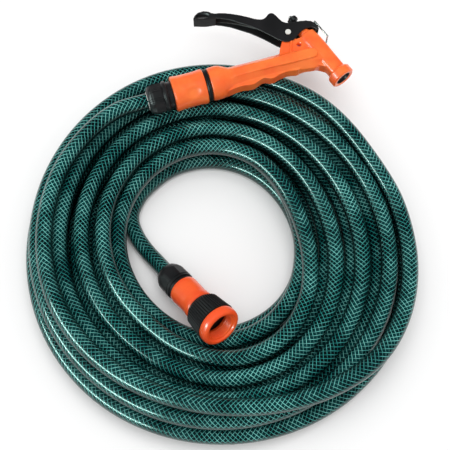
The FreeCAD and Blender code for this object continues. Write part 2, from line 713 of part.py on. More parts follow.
def make_lever():
    """Squeeze lever: a channel with a looped end, ears round the pin and a forked nose."""
    outline = [(3.8, 71.0), (5.0, 66.5), (9.0, 62.8), (15.0, 61.2), (22.0, 62.0), (32.0, 58.4), (45.0, 49.8),
               (57.5, 39.4), (68.0, 29.4), (78.1, 19.6), (84.0, 21.2), (90.0, 21.8), (95.6, 24.2), (99.6, 29.6),
               (105.6, 30.4), (112.0, 28.2), (116.4, 25.8), (121.0, 25.6), (123.8, 29.2), (122.6, 34.6),
               (119.0, 39.2), (112.0, 41.4), (104.0, 41.6), (98.4, 42.0), (92.6, 45.4), (88.4, 50.4),
               (85.1, 55.6), (82.4, 59.4), (79.0, 60.8), (76.0, 59.6), (72.2, 56.2), (60.0, 62.2),
               (48.0, 67.8), (36.0, 73.0), (28.6, 75.8), (23.0, 79.2), (17.0, 80.6), (10.5, 79.6), (5.6, 76.2)]
    half = LEVER_WIDTH / 2.0
    body = plate(outline, -half, half)
    inner = half - LEVER_WALL
    hollow = plate([(18.0, 57.0), (24.0, 66.5), (32.0, 67.4), (46.0, 61.6), (60.0, 54.4), (71.0, 46.4),
                    (84.0, 43.6), (94.0, 39.4), (97.6, 36.0), (98.9, 31.8), (111.1, 36.2), (114.5, 35.2), (119.5, 30.0),
                    (120.4, 20.0), (76.0, 10.0)], -inner, inner)
    body = body.cut(hollow)
    slot_low = STEM_FOOT + STEM_UP * -6.0
    slot = Part.makeBox(30.0, 10.4, STEM_D + 1.0, Vector(-12.0, -5.6, -STEM_D / 2.0 - 0.5))
    slot.Placement = Placement(slot_low, Rotation(X_AXIS, STEM_UP)).multiply(slot.Placement)
    well = on_stem(Part.makeBox(20.0, 15.0, 2.0 * inner, Vector(NUT_SEAT - 1.5, -7.5, -inner)))
    pad = Part.makeCylinder(PAD_R, 2.0 * inner + 0.4, STEM_FOOT + STEM_UP * (NUT_SEAT - PAD_R - REST)
                            + Vector(0, 0, -inner - 0.2))
    body = body.cut(well).fuse(pad).cut(slot)
    pin_hole = Part.makeCylinder(PIN_D / 2.0 + RUN, LEVER_WIDTH + 2.0, Vector(PIVOT[0], PIVOT[1], -half - 1.0))
    loop_hole = Part.makeCylinder(2.2, LEVER_WIDTH + 2.0, Vector(14.6, 66.0, -half - 1.0))
    recess = Part.makeCylinder(6.4, 1.2, Vector(13.6, 71.4, half - 1.2))
    wire_hole = Part.makeCylinder(WIRE_D / 2.0 + RUN, LEVER_WIDTH + 2.0, Vector(CATCH[0], CATCH[1], -half - 1.0))
    for tool in (pin_hole, loop_hole, recess, wire_hole):
        body = body.cut(tool)
    return body


CATCH = (118.4, 33.0)
CATCH_END = (125.4, 13.6)


def make_pin():
    half = LEVER_WIDTH / 2.0 + 0.2
    pin = Part.makeCylinder(PIN_D / 2.0, 2.0 * half, Vector(PIVOT[0], PIVOT[1], -half))
    for side in (1, -1):
        head = Part.makeCylinder(PIN_HEAD_D / 2.0, 0.8, Vector(PIVOT[0], PIVOT[1], side * half), Vector(0, 0, side))
        pin = pin.fuse(head)
    return pin


def make_wire_catch():
    """A bent wire whose ends turn in the lever's nose and whose bar hooks the barrel."""
    half = LEVER_WIDTH / 2.0
    r = WIRE_D / 2.0
    z = half + r + 0.2
    start = Vector(CATCH[0], CATCH[1], half - LEVER_WALL + 0.3)
    corners = [start, Vector(CATCH[0], CATCH[1], z), Vector(CATCH_END[0], CATCH_END[1], z),
               Vector(CATCH_END[0], CATCH_END[1], -z), Vector(CATCH[0], CATCH[1], -z),
               Vector(start.x, start.y, -start.z)]
    wire = None
    for first, second in zip(corners, corners[1:]):
        run = second - first
        piece = Part.makeCylinder(r, run.Length, first, run)
        wire = piece if wire is None else wire.fuse(piece)
    for corner in corners[1:-1]:
        wire = wire.fuse(Part.makeSphere(r, corner))
    return wire


def make_stem():
    """Valve stem: rod, thread end and the head that carries the washer."""
    r = STEM_D / 2.0
    return on_stem(revolve([(-60.0, 0), (-60.0, 1.4), (-56.0, 2.2), (-51.0, 2.4), (-51.0, 5.0), (-49.0, 5.0), (-49.0, r),
                            (NUT_SEAT + ADJUST_LENGTH + 1.5, r), (NUT_SEAT + ADJUST_LENGTH + 2.0, r - 0.5),
                            (NUT_SEAT + ADJUST_LENGTH + 2.0, 0)]))


def make_valve_washer():
    return on_stem(revolve([(-51.9, 2.45), (-51.9, 5.6), (-51.1, 5.6), (-51.1, 2.45)]))


def make_adjusting_nut():
    """Ribbed knob on the stem's end; its domed underside bears on the lever's pads."""
    r = ADJUST_D / 2.0
    bore = STEM_D / 2.0 + RUN
    low = NUT_SEAT
    top = NUT_SEAT + ADJUST_LENGTH
    ribs = ribbed_ring(low + 1.4, top - 0.8, ADJUST_D, ADJUST_D - 0.4, 12, 0.7)
    core = revolve([(low, 0), (low, r - 2.2), (low + 1.4, r - 0.7), (top - 0.8, r - 0.8), (top, r - 1.8), (top, 0)])
    return on_stem(ribs.fuse(core).cut(rod(low - 1.0, top + 1.0, bore)))


def make_gland():
    """Packing nut that closes the barrel round the stem."""
    r = GLAND_D / 2.0
    inner = STEM_D / 2.0 + RUN
    skirt = CHAMBER_D / 2.0 - SEAT
    body = revolve([(BARREL_TOP - 6.0, inner + 1.6), (BARREL_TOP - 6.0, skirt), (BARREL_TOP + 0.2, skirt),
                    (BARREL_TOP + 0.2, r + 0.6), (BARREL_TOP + 2.0, r + 0.6), (BARREL_TOP + 2.0, r),
                    (GLAND_TOP - 0.6, r), (GLAND_TOP, r - 0.6), (GLAND_TOP, inner), (BARREL_TOP - 3.0, inner),
                    (BARREL_TOP - 3.0, inner + 1.6)])
    hexagon = Part.Face(Part.makePolygon(
        [Vector(BARREL_TOP + 0.2, 1.06 * r * math.cos(a), 1.06 * r * math.sin(a))
         for a in [math.pi / 3.0 * i for i in range(7)]])).extrude(Vector(GLAND_TOP - BARREL_TOP, 0, 0))
    return on_stem(body.common(hexagon.fuse(rod(BARREL_TOP - 7.0, BARREL_TOP + 2.0, BARREL_R))))


def make_stem_seal():
    inner = STEM_D / 2.0 + 0.03
    return on_stem(revolve([(BARREL_TOP - 5.6, inner), (BARREL_TOP - 5.6, inner + 1.55),
                            (BARREL_TOP - 3.05, inner + 1.55), (BARREL_TOP - 3.05, inner)]))


def make_muzzle():
    """Orange bumper ring round the front of the barrel."""
    r = MUZZLE_D / 2.0
    end = BARREL_FRONT - 4.0
    start = end + MUZZLE_LENGTH
    fit = BARREL_R - 0.5 + SEAT
    return on_stem(revolve([(end, TIP_D / 2.0 + 1.4), (end, r - 1.4), (end + 1.2, r), (start - 2.4, r),
                            (start - 0.6, r - 1.2), (start, r - 2.6), (start, fit + 0.16), (BARREL_FRONT - 0.1, fit),
                            (BARREL_FRONT - 0.1, TIP_D / 2.0 + SEAT), (end + 0.6, TIP_D / 2.0 + SEAT)]))


def make_tip():
    """The nozzle insert that shapes the jet, seated in the muzzle ring."""
    end = BARREL_FRONT - 3.6
    return on_stem(revolve([(end, 3.4), (end, 5.2), (end + 1.2, 5.8), (end + 1.2, TIP_D / 2.0),
                            (BARREL_FRONT - 0.1, TIP_D / 2.0), (BARREL_FRONT - 0.1, 2.9), (end + 1.6, 2.6)]))


def build():
    parts = {}

    gun_places = add_connector(parts, "gun_connector", gun_frame, GUN_SLEEVE_LENGTH, GUN_SLEEVE_D, True)
    tap_places = add_connector(parts, "tap_connector", tap_frame, TAP_SLEEVE_LENGTH, TAP_SLEEVE_D, False)

    # The coil starts in the tap connector; the free stretch goes on to the other one
    nut_mouth = along(tap_frame, tap_places["nut_back"] - 2.0)
    hose_end = along(tap_frame, tap_places["hose_end"])
    edges, coil_end, end_heading = coil_edges(nut_mouth, hose_end, tap_heading)
    gun_end = along(gun_frame, gun_places["hose_end"])
    gun_route = [tuple(coil_end), tuple(coil_end + end_heading * 29.0)]
    gun_route += [free_point(*place) for place in FREE_STRETCH]
    gun_route += [tuple(along(gun_frame, gun_places["nut_back"] - 34.0)), tuple(gun_end)]
    gun_edges = route_edges(gun_route, "gun_tail")
    for name, path, sides, place, places in (
            ("hose_coil", edges, HOSE_SIDES, tap_frame, tap_places),
            ("hose_gun_tail", gun_edges, 0, gun_frame, gun_places)):
        solid = tube(path, RADIUS, sides, name)
        bore = rod(places["hose_end"] - BARB_LENGTH - 1.0, places["hose_end"] + 1.0, HOSE_BORE_D / 2.0)
        bore.Placement = place
        floor_cut = Part.makeBox(600, 600, 40, Vector(-300, -300, -40))
        parts[name] = solid.cut(bore).cut(floor_cut)

    coil_points = sample(edges, 4.0)
    gun_points = sample(gun_edges, 4.0)
    print("least gap of the coil to itself %.2f mm" % least_gap(coil_points, coil_points, 20))
    print("least gap of the gun tail to itself %.2f, to the coil %.2f mm"
          % (least_gap(gun_points, gun_points, 20), least_gap(gun_points[8:], coil_points[:-14], 0)))

    # Tap adaptor
    insert, thread_place = make_insert()
    for name, shape in (("adaptor_body", make_adaptor_body()), ("adaptor_insert", insert),
                        ("adaptor_washer", make_washer()), ("adaptor_o_ring", make_spigot_ring())):
        shape.Placement = tap_frame.multiply(shape.Placement)
        parts[name] = shape

    # Spray gun
    for name, shape in (("gun_body", make_gun_body()), ("gun_spigot", make_gun_spigot()),
                        ("gun_o_ring", make_spigot_ring()), ("trigger_lever", make_lever()),
                        ("lever_pin", make_pin()), ("wire_catch", make_wire_catch()),
                        ("valve_stem", make_stem()), ("valve_washer", make_valve_washer()),
                        ("adjusting_nut", make_adjusting_nut()), ("packing_gland", make_gland()),
                        ("stem_seal", make_stem_seal()), ("muzzle_ring", make_muzzle()),
                        ("nozzle_tip", make_tip()),
                        ("stem_spring", on_stem(make_spring(-48.9, BARREL_TOP - 6.1, 9.4, 1.2, 6)))):
        shape.Placement = gun_frame.multiply(shape.Placement)
        parts[name] = shape

    # Centre the whole over the origin, standing on z = 0
    box = FreeCAD.BoundBox()
    for shape in parts.values():
        for vertex in shape.tessellate(0.1)[0]:
            box.add(vertex)
    shift = Vector(-box.Center.x, -box.Center.y, 0)
    for name, shape in parts.items():
        shape.translate(shift)
        shape.exportStep("parts/%s.step" % name)
        if not shape.isValid() or len(shape.Solids) != 1:
            print("CHECK", name, "valid", shape.isValid(), "solids", len(shape.Solids))

    def say(label, point):
        p = point + shift
        print("%s at %.3f %.3f %.3f" % (label, p.x, p.y, p.z))

    print("box %.1f %.1f %.1f, %d pieces" % (box.XLength, box.YLength, box.ZLength, len(parts)))
    say("shift of the coil's centre", ORIGIN)
    say("gun axis", along(gun_frame, 0))
    say("lever pivot", along(gun_frame, *PIVOT))
    say("catch pivot", along(gun_frame, *CATCH))
    say("stem foot", gun_frame.multVec(STEM_FOOT))
    say("tap axis", along(tap_frame, 0))
    say("tap thread", along(tap_frame, thread_place))
    lowest_outer = coil_point(TURNS_LOWER - 0.125)
    say("rest point", Vector(lowest_outer.x, lowest_outer.y, 0))
    print("gun heading", gun_frame.Rotation.multVec(X_AXIS))
    print("stem up", gun_frame.Rotation.multVec(STEM_UP))
    print("tap heading", tap_frame.Rotation.multVec(X_AXIS))
    return parts


build()
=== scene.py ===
# %% [markdown]
# # A coiled garden hose with its fittings and a spray gun
# The object is a braided vinyl hose that lies in a loose coil. Each end carries a
# quick connector; a threaded tap adaptor is plugged into one and a spray gun into
# the other. The packed CAD model gives the frame that all pieces share, in metres,
# so the first step is to load it.

# %% The CAD frame
import json
import math

import bpy
import numpy as np
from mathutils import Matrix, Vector


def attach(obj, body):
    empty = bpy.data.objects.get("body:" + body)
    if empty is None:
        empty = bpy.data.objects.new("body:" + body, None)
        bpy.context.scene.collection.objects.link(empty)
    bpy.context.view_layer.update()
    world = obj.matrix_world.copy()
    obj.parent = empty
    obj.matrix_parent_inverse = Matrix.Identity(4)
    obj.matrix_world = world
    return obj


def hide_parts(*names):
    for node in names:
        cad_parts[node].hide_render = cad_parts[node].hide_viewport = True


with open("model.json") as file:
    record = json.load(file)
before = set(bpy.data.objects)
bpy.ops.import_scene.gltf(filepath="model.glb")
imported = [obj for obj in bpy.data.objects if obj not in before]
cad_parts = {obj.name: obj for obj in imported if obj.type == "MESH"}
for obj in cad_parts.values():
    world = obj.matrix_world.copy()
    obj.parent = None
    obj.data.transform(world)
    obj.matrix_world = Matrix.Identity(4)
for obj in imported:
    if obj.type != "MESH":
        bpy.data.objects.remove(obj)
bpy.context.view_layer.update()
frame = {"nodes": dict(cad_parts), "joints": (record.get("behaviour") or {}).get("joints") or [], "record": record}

# %% [markdown]
# ## Where the hose lies
# The hose's line is one smooth NURBS curve of the third order. It follows its
# control points at a small distance, as a stiff hose follows the hands that laid
# it. The coil's control points come from a formula: a radius that depends on the
# direction and grows or shrinks steadily, in three layers. The free stretch that
# leads to the gun is given point by point. The centre of the coil is found from the
# gun's joint, whose place against it is known.

# %% The coil's sizes
HOSE_RADIUS = 0.008
GUN_AXIS_FROM_COIL = np.array([-0.0140, 0.1433, 0.06475])
swivel = next(joint for joint in frame["joints"] if joint["name"] == "gun_swivel")
COIL_CENTRE = (np.array(swivel["pos_m"]) - GUN_AXIS_FROM_COIL) * [1, 1, 0]

TURNS = (5.25, 4.0, 4.0)
HALF_TURN = 0.5   # on which the hose climbs from one layer to the next
START_ANGLE = 135.0
# Radii towards eight directions, 45 degrees apart, from the right and anticlockwise
OUTER_RADII = (0.178, 0.166, 0.173, 0.1815, 0.186, 0.1895, 0.188, 0.187)
INNER_RADII_LOWER = (0.069, 0.0715, 0.0835, 0.0965, 0.1015, 0.0935, 0.081, 0.075)
INNER_RADII_UPPER = (0.070, 0.075, 0.089, 0.099, 0.103, 0.101, 0.0995, 0.084)
FRONT_BULGE = 0.020
MIDDLE_ASIDE = -0.017
ASIDE_TOWARDS = math.radians(32)
LAYER_HEIGHTS = (0.0064, 0.0230, 0.0396)
LAYER_STEP = LAYER_HEIGHTS[1] - LAYER_HEIGHTS[0]
print("coil centre", COIL_CENTRE.round(5), "turns", sum(TURNS) + 2 * HALF_TURN)

# %% [markdown]
# A real coil isn't round: the hands lay each turn a little differently. A sum of a
# few cosine waves is the smoothest line through radii that are known in eight
# directions, and a cosine ramp lifts the hose from layer to layer without a kink.


# %% Smooth runs between known values
def by_direction(radii, angle):
    """Runs smoothly through eight radii, 45 degrees apart: a sum of cosine waves for each."""
    away = np.asarray(angle)[..., None] - np.arange(8) * np.pi / 4
    waves = 1 + 2 * np.cos(away) + 2 * np.cos(2 * away) + 2 * np.cos(3 * away) + np.cos(4 * away)
    return waves @ np.array(radii) / 8


def climb(part):
    """Half a cosine wave from 0 to 1."""
    return 0.5 - 0.5 * np.cos(np.pi * np.clip(part, 0, 1))


print("outer radius to the front left", by_direction(OUTER_RADII, np.radians(225)).round(4))

# %% [markdown]
# The coil goes out in the lowest layer, in again in the middle one and out in the
# upper one. The middle layer is laid a little aside, so that its turns cover the
# gaps of the layers above and below, and the first upper turn bulges to the front.


# %% The coil's formula
def coil_line(turn):
    """Centre line after so many turns: out, in and out again, a layer higher each time."""
    ends = np.cumsum([TURNS[0], HALF_TURN, TURNS[1], HALF_TURN, TURNS[2]])
    angle = np.radians(START_ANGLE - 360 * turn)
    outer = by_direction(OUTER_RADII, angle)
    lower = by_direction(INNER_RADII_LOWER, angle)
    upper = by_direction(INNER_RADII_UPPER, angle)
    part = np.mod(turn - ends[3], 1) * 2
    swell = np.where(part < 1, np.sin(np.pi * np.clip(part, 0, 1) ** 1.5) ** 2, 0)
    inner = np.where(turn < ends[0], lower, upper)
    inner = inner + FRONT_BULGE * swell * (turn > ends[3])
    outward = np.interp(turn, [0, ends[0], ends[1], ends[2], ends[3], ends[4]],
                        [0, 1, 1, 0, 0, 1])
    radius = inner + (outer - inner) * outward
    within = climb((turn - ends[1]) * 2) * climb((ends[2] - turn) * 2)
    facing = 0.5 + 0.5 * np.cos(angle - ASIDE_TOWARDS)
    radius = radius + MIDDLE_ASIDE * within * (0.4 + 0.6 * outward) * facing ** 2
    height = (LAYER_HEIGHTS[0] + LAYER_STEP * climb((turn - ends[0]) * 2)
              + LAYER_STEP * climb((turn - ends[2]) * 2))
    return np.stack([radius * np.cos(angle), radius * np.sin(angle), height], axis=-1)


print("coil starts at", coil_line(np.array(0.0)).round(4))

# %% [markdown]
# A curve of the third order runs inside its control points by the cosine of half
# the step between them, so the coil's points stand out by that much. Sixteen
# points to a turn are enough for it to look round.

# %% The coil's control points
POINTS_PER_TURN = 16
LEAD_IN, LEAD_OUT = 0.03, 0.01   # parts of a turn left to the listed points
total_turns = sum(TURNS) + 2 * HALF_TURN
turns = np.linspace(LEAD_IN, total_turns - LEAD_OUT, int(total_turns * POINTS_PER_TURN))
coil_points = coil_line(turns)
coil_points[:, :2] /= math.cos(math.pi / POINTS_PER_TURN)
print("coil points", len(coil_points))

# %% [markdown]
# The lead-in swings out of the tap connector and down to the floor. The free
# stretch climbs over the finished coil at the right, runs along its front and up
# its left side, and ends straight in the gun's connector. Both follow the
# photograph, so they are listed point by point; the free stretch is given against
# the coil's outline.

# %% The listed control points
FROM_TAP_CONNECTOR = [(-0.0470, -0.0437, 0.0210), (-0.0565, -0.0327, 0.0144), (-0.0640, -0.0235, 0.0103),
                      (-0.0760, -0.0105, 0.0068), (-0.0880, 0.0062, 0.0064), (-0.0946, 0.0254, 0.0064),
                      (-0.0888, 0.0433, 0.0064), (-0.0792, 0.0575, 0.0064)]
# Direction in degrees, depth inside the coil's outline, layers above the upper one
FREE_STRETCH = np.array([(18, 0.0045, 0.0), (4, 0.0040, 0.0), (-11, 0.0015, 0.1), (-26, -0.0005, 0.3),
                         (-41, 0.0000, 0.65), (-57, 0.0080, 1.0), (-73, 0.0155, 1.0), (-90, 0.0210, 1.0),
                         (-107, 0.0230, 1.0), (-124, 0.0220, 1.0), (-141, 0.0195, 1.0), (-158, 0.0170, 1.0),
                         (-175, 0.0165, 1.0), (-191, 0.0160, 1.0), (-207, 0.0160, 1.05)])
TO_GUN_CONNECTOR = [(-0.1100, 0.1149, 0.06475), (-0.0773, 0.1246, 0.06475), (-0.0640, 0.1285, 0.06475)]
direction = np.radians(FREE_STRETCH[:, 0])
reach = by_direction(OUTER_RADII, direction) - FREE_STRETCH[:, 1]
free_stretch = np.stack([reach * np.cos(direction), reach * np.sin(direction),
                         LAYER_HEIGHTS[2] + LAYER_STEP * FREE_STRETCH[:, 2]], axis=-1)
hose_points = np.concatenate([FROM_TAP_CONNECTOR, coil_points, free_stretch, TO_GUN_CONNECTOR])
hose_points = hose_points + COIL_CENTRE
print("control points", len(hose_points))

# %% [markdown]
# Blender works out the NURBS line itself. A bare curve makes a mesh that is only a
# row of points, which is read back as an array, so that the tube can be built on
# it with its own map of the length along the hose.


# %% A NURBS line
def nurbs_line(name, points, resolution):
    """An open curve of the third order that starts and ends at its end points."""
    curve = bpy.data.curves.new(name, "CURVE")
    curve.dimensions = "3D"
    spline = curve.splines.new("NURBS")
    spline.points.add(len(points) - 1)
    spline.points.foreach_set("co", np.column_stack([points, np.ones(len(points))]).ravel())
    spline.order_u = 3
    spline.use_endpoint_u = True
    spline.resolution_u = resolution
    return curve


POINTS_PER_SPAN = 8
hose_curve = nurbs_line("hose_line", hose_points, POINTS_PER_SPAN)
print("curve of order", hose_curve.splines[0].order_u, "with", len(hose_points), "control points")


# %% The hose's line as an array
def points_along(curve):
    """The curve's own points, as an array, and the helper objects cleared away."""
    helper = bpy.data.objects.new(curve.name, curve)
    mesh = bpy.data.meshes.new_from_object(helper)
    places = np.empty(len(mesh.vertices) * 3)
    mesh.vertices.foreach_get("co", places)
    bpy.data.objects.remove(helper)
    bpy.data.meshes.remove(mesh)
    return places.reshape(-1, 3)


def step_lengths(line):
    """The distance from each point of a line to the next."""
    return np.linalg.norm(np.diff(line, axis=0), axis=1)


SAME_PLACE = 1e-6
hose_line = points_along(hose_curve)
hose_line = hose_line[np.concatenate([[True], step_lengths(hose_line) > SAME_PLACE])]
hose_run = np.concatenate([[0], np.cumsum(step_lengths(hose_line))])

# %% [markdown]
# ## The hose
# The hose is one long tube of 16 mm. It could be the curve's own bevel, but a
# computed tube gives the braid exact lengths. It lies on the floor by its own
# weight, so its lowest points are kept a hair above the floor, which flattens it
# there as a real hose does.


# %% The tube's rings
def tube_grid(line, radius, sides):
    """A ring of points round each place on a line; the rings stand square to it."""
    forward = np.gradient(line, axis=0)
    forward /= np.linalg.norm(forward, axis=1, keepdims=True)
    side = np.cross(forward, [0, 0, 1.0])
    side /= np.linalg.norm(side, axis=1, keepdims=True)
    up = np.cross(side, forward)
    angle = np.arange(sides) * 2 * np.pi / sides
    ring = side[:, None] * np.cos(angle)[None, :, None] + up[:, None] * np.sin(angle)[None, :, None]
    return line[:, None] + ring * np.reshape(radius, (-1, 1, 1))


HOSE_SIDES = 24
ABOVE_FLOOR = 0.0001
hose_grid = tube_grid(hose_line, np.full(len(hose_line), HOSE_RADIUS), HOSE_SIDES)
hose_grid[..., 2] = np.maximum(hose_grid[..., 2], ABOVE_FLOOR)
print("hose grid", hose_grid.shape, "lowest point", hose_grid[..., 2].min())

# %% [markdown]
# Most new surfaces are such grids of points: rings, one after the other. One helper
# numbers the faces between the rings. Another turns the hose's grid into a mesh
# with a map of the length along it and the way round it, which the braid follows.


# %% Faces between rings of points
def faces_between(rows, columns, closed=False):
    """Corner numbers of the faces between rings; closed joins the last ring to the first."""
    i, j = np.meshgrid(np.arange(rows if closed else rows - 1), np.arange(columns), indexing="ij")
    n, k = (i + 1) % rows, (j + 1) % columns
    corners = np.stack([i * columns + j, i * columns + k, n * columns + k, n * columns + j], -1)
    return corners.reshape(-1, 4)


def end_faces(rows, columns):
    """The first ring turned round and the last ring as they are, one face each."""
    return [list(range(columns))[::-1], list(range((rows - 1) * columns, rows * columns))]


print("two rings of three points:", faces_between(2, 3).tolist(), "and", end_faces(2, 3))


# %% A mesh with a map
def grid_mesh(name, grid, u, v):
    """grid[i, j] is the place at u[i] along and v[j] round; the last v joins the first."""
    rows, columns = grid.shape[:2]
    faces = faces_between(rows, columns)
    mesh = bpy.data.meshes.new(name)
    mesh.from_pydata(grid.reshape(-1, 3).tolist(), [], faces.tolist() + end_faces(rows, columns))
    row, column = faces // columns, faces % columns
    past_seam = (column == 0) & (column[:, :1] == columns - 1)
    uv = np.stack([u[row], np.where(past_seam, 1.0, v[column])], -1).reshape(-1, 2)
    uv = np.concatenate([uv, np.zeros((2 * columns, 2))])
    mesh.uv_layers.new(name="run").data.foreach_set("uv", uv.astype(np.float32).ravel())
    mesh.shade_smooth()
    return mesh


hose_mesh = grid_mesh("garden_hose", hose_grid, hose_run, np.arange(HOSE_SIDES) / HOSE_SIDES)
print("hose mesh", len(hose_mesh.polygons), "faces")

# %% [markdown]
# Each piece says which body it rides on and which packed nodes it stands for.


# %% The hose as a piece
def placed(name, mesh, body):
    """An object for a mesh whose place is already in its points, riding on a body."""
    piece = bpy.data.objects.new(name, mesh)
    bpy.context.scene.collection.objects.link(piece)
    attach(piece, body)
    print(name, "on", body, "has", len(mesh.polygons), "faces")
    return piece


hose = placed("garden_hose", hose_mesh, "hose")
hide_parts("hose_coil", "hose_gun_tail")

# %% [markdown]
# ## Moulded pieces
# The gun's body and lever are moulded in one piece each, from plates, tubes and
# rounded bars that run into each other. Each form is first made on its own as a
# closed surface, in the gun's own plane: x along the handle, y towards the lever,
# z out of the plane, in millimetres. The gun's joint gives the plane's origin.

# %% The gun's own plane
GUN_HEADING = math.radians(16.5)
GUN_ORIGIN = np.array(swivel["pos_m"])
GUN_AXES = np.array([[math.cos(GUN_HEADING), math.sin(GUN_HEADING), 0],
                     [-math.sin(GUN_HEADING), math.cos(GUN_HEADING), 0], [0, 0, 1]])
PIVOT = (89.5, 29.4)


def on_gun(points):
    """Places in the gun's plane, in millimetres, as places in the model, in metres."""
    return GUN_ORIGIN + np.asarray(points) / 1000 @ GUN_AXES


print("gun's pivot at", on_gun([(*PIVOT, 0.0)]).round(4))

# %% [markdown]
# The plainest form is a prism: a flat outline, carried sideways out of the gun's
# plane. The lever's cheeks, ring and wall are all prisms, and so is the slot that
# lets the valve's stem through the lever.


# %% Prisms
def prism(outline, low, high):
    """A flat outline carried from low to high: one wall face per side and two ends."""
    outline = np.asarray(outline, float)
    ahead = np.roll(outline, -1, axis=0)
    area = np.sum(outline[:, 0] * ahead[:, 1] - outline[:, 1] * ahead[:, 0])
    outline = outline if area > 0 else outline[::-1]
    count = len(outline)
    points = np.concatenate([np.column_stack([outline, np.full(count, low)]),
                             np.column_stack([outline, np.full(count, high)])])
    i = np.arange(count)
    k = (i + 1) % count
    walls = np.stack([i, k, k + count, i + count], -1).tolist()
    return points, walls + [i[::-1].tolist(), (i + count).tolist()]


SLOT_HALF = 3.3
stem_slot = prism([(97.2, 28.0), (107.8, 28.0), (106.0, 46.0), (95.4, 46.0)], -SLOT_HALF, SLOT_HALF)
print("a slot of four corners has", len(stem_slot[1]), "faces")

# %% [markdown]
# A mould has no seams between its forms. They could be joined and bevelled, but
# bevels break where many forms meet. So the forms are laid over each other and
# wrapped in one skin of small even faces, which is smoothed a little: that gives
# the corners their fillets. Holes are cut after it, so that they keep crisp rims.


# %% One skin round several forms
def helper_piece(name, forms, place):
    """An object that holds several closed forms side by side."""
    points, faces, start = [], [], 0
    for form_points, form_faces in forms:
        points.append(form_points)
        faces += [[start + corner for corner in face] for face in form_faces]
        start += len(form_points)
    mesh = bpy.data.meshes.new(name)
    mesh.from_pydata(place(np.concatenate(points)).tolist(), [], faces)
    helper = bpy.data.objects.new(name, mesh)
    bpy.context.scene.collection.objects.link(helper)
    return helper


def one_skin(name, forms, voxel, smoothing, place, hollows=()):
    """Overlapping closed forms wrapped in one skin of small faces, smoothed, then hollowed."""
    helper = helper_piece(name, forms, place)
    wrap = helper.modifiers.new("wrap", "REMESH")
    wrap.mode = "VOXEL"
    wrap.voxel_size = voxel
    ease = helper.modifiers.new("ease", "SMOOTH")
    ease.factor = 0.5
    ease.iterations = smoothing
    tools = []
    for hollow in hollows:
        tools.append(helper_piece(name + "_hollow", [hollow], place))
        cut = helper.modifiers.new("hollow", "BOOLEAN")
        cut.operation = "DIFFERENCE"
        cut.solver = "EXACT"
        cut.object = tools[-1]
    skin = bpy.data.meshes.new_from_object(helper.evaluated_get(bpy.context.evaluated_depsgraph_get()))
    for piece in [helper] + tools:
        bpy.data.objects.remove(piece)
    skin.name = name
    skin.shade_smooth()
    return skin


LEVER_SKIN, BODY_SKIN = 0.00055, 0.0006
print("skins of faces %.2f and %.2f mm wide" % (LEVER_SKIN * 1000, BODY_SKIN * 1000))

# %% [markdown]
# ## The squeeze lever
# The lever is a channel: two cheeks joined along the palm side, open towards the
# handle. Its far end is a solid ring, whose hole is for hanging. The outline is
# drawn once, as a palm side and a handle side. The hole and the slot for the
# valve's stem could be drawn into it, but cut through the finished skin their rims
# stay crisp.

# %% The lever's outline
PALM_SIDE = [(3.4, 71.1), (5.9, 74.5), (10.2, 76.9), (15.5, 77.1), (20.2, 75.4), (23.0, 72.7), (26.2, 71.2),
             (31.2, 70.3), (36.9, 68.3), (42.5, 65.9), (49.7, 62.2), (56.8, 57.9), (62.8, 53.9), (67.4, 51.8),
             (70.9, 51.5), (74.0, 52.9), (76.9, 55.3), (79.7, 56.0), (82.0, 55.0), (84.1, 51.6), (85.9, 47.5),
             (87.8, 43.6), (91.1, 41.0), (95.0, 39.9), (100.1, 39.4), (105.2, 39.0), (111.1, 37.8),
             (115.7, 35.9), (118.6, 33.0), (120.4, 29.3), (120.6, 25.4)]
HANDLE_SIDE = [(118.6, 24.4), (117.2, 26.9), (114.5, 29.0), (109.4, 29.5), (104.8, 28.3), (101.1, 26.4),
               (97.6, 23.7), (93.5, 20.8), (89.5, 19.6), (84.6, 20.4), (80.6, 22.7), (77.0, 25.9),
               (72.4, 31.0), (66.9, 36.9), (61.3, 42.3), (55.6, 47.4), (47.1, 53.6), (38.5, 59.7),
               (31.2, 63.6), (25.4, 66.0), (20.6, 66.6), (15.6, 67.2), (10.0, 68.9), (6.0, 70.4)]
CHEEKS_FROM, RING_TO = 22, 30   # along the handle; they share the part between
cheek_outline = [point for point in HANDLE_SIDE + PALM_SIDE if point[0] > CHEEKS_FROM]
ring_outline = [point for point in HANDLE_SIDE + PALM_SIDE if point[0] < RING_TO]
palm_wall = np.array(PALM_SIDE[5:])
WALL_INWARDS = [1.2, 2.3]
wall_outline = palm_wall.tolist() + (palm_wall - WALL_INWARDS)[::-1].tolist()
print("lever outline", len(cheek_outline), "points, ring", len(ring_outline))

# %% The lever
LEVER_HALF = 7.5
CHEEK = 1.3
hole_angle = np.arange(32) * np.pi / 16
hang_hole = np.column_stack([13.4 + 6.9 * np.cos(hole_angle),
                             71.8 + 3.4 * np.sin(hole_angle) - 1.0 * np.cos(hole_angle)])
HANG_HOLE_HALF = 9
lever_forms = [prism(ring_outline, -LEVER_HALF, LEVER_HALF),
               prism(cheek_outline, LEVER_HALF - CHEEK, LEVER_HALF),
               prism(cheek_outline, -LEVER_HALF, CHEEK - LEVER_HALF),
               prism(wall_outline, -LEVER_HALF, LEVER_HALF)]
lever_hollows = [stem_slot, prism(hang_hole, -HANG_HOLE_HALF, HANG_HOLE_HALF)]
lever_mesh = one_skin("squeeze_lever", lever_forms, LEVER_SKIN, smoothing=3, place=on_gun,
                      hollows=lever_hollows)
lever = placed("squeeze_lever", lever_mesh, "lever")
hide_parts("trigger_lever")

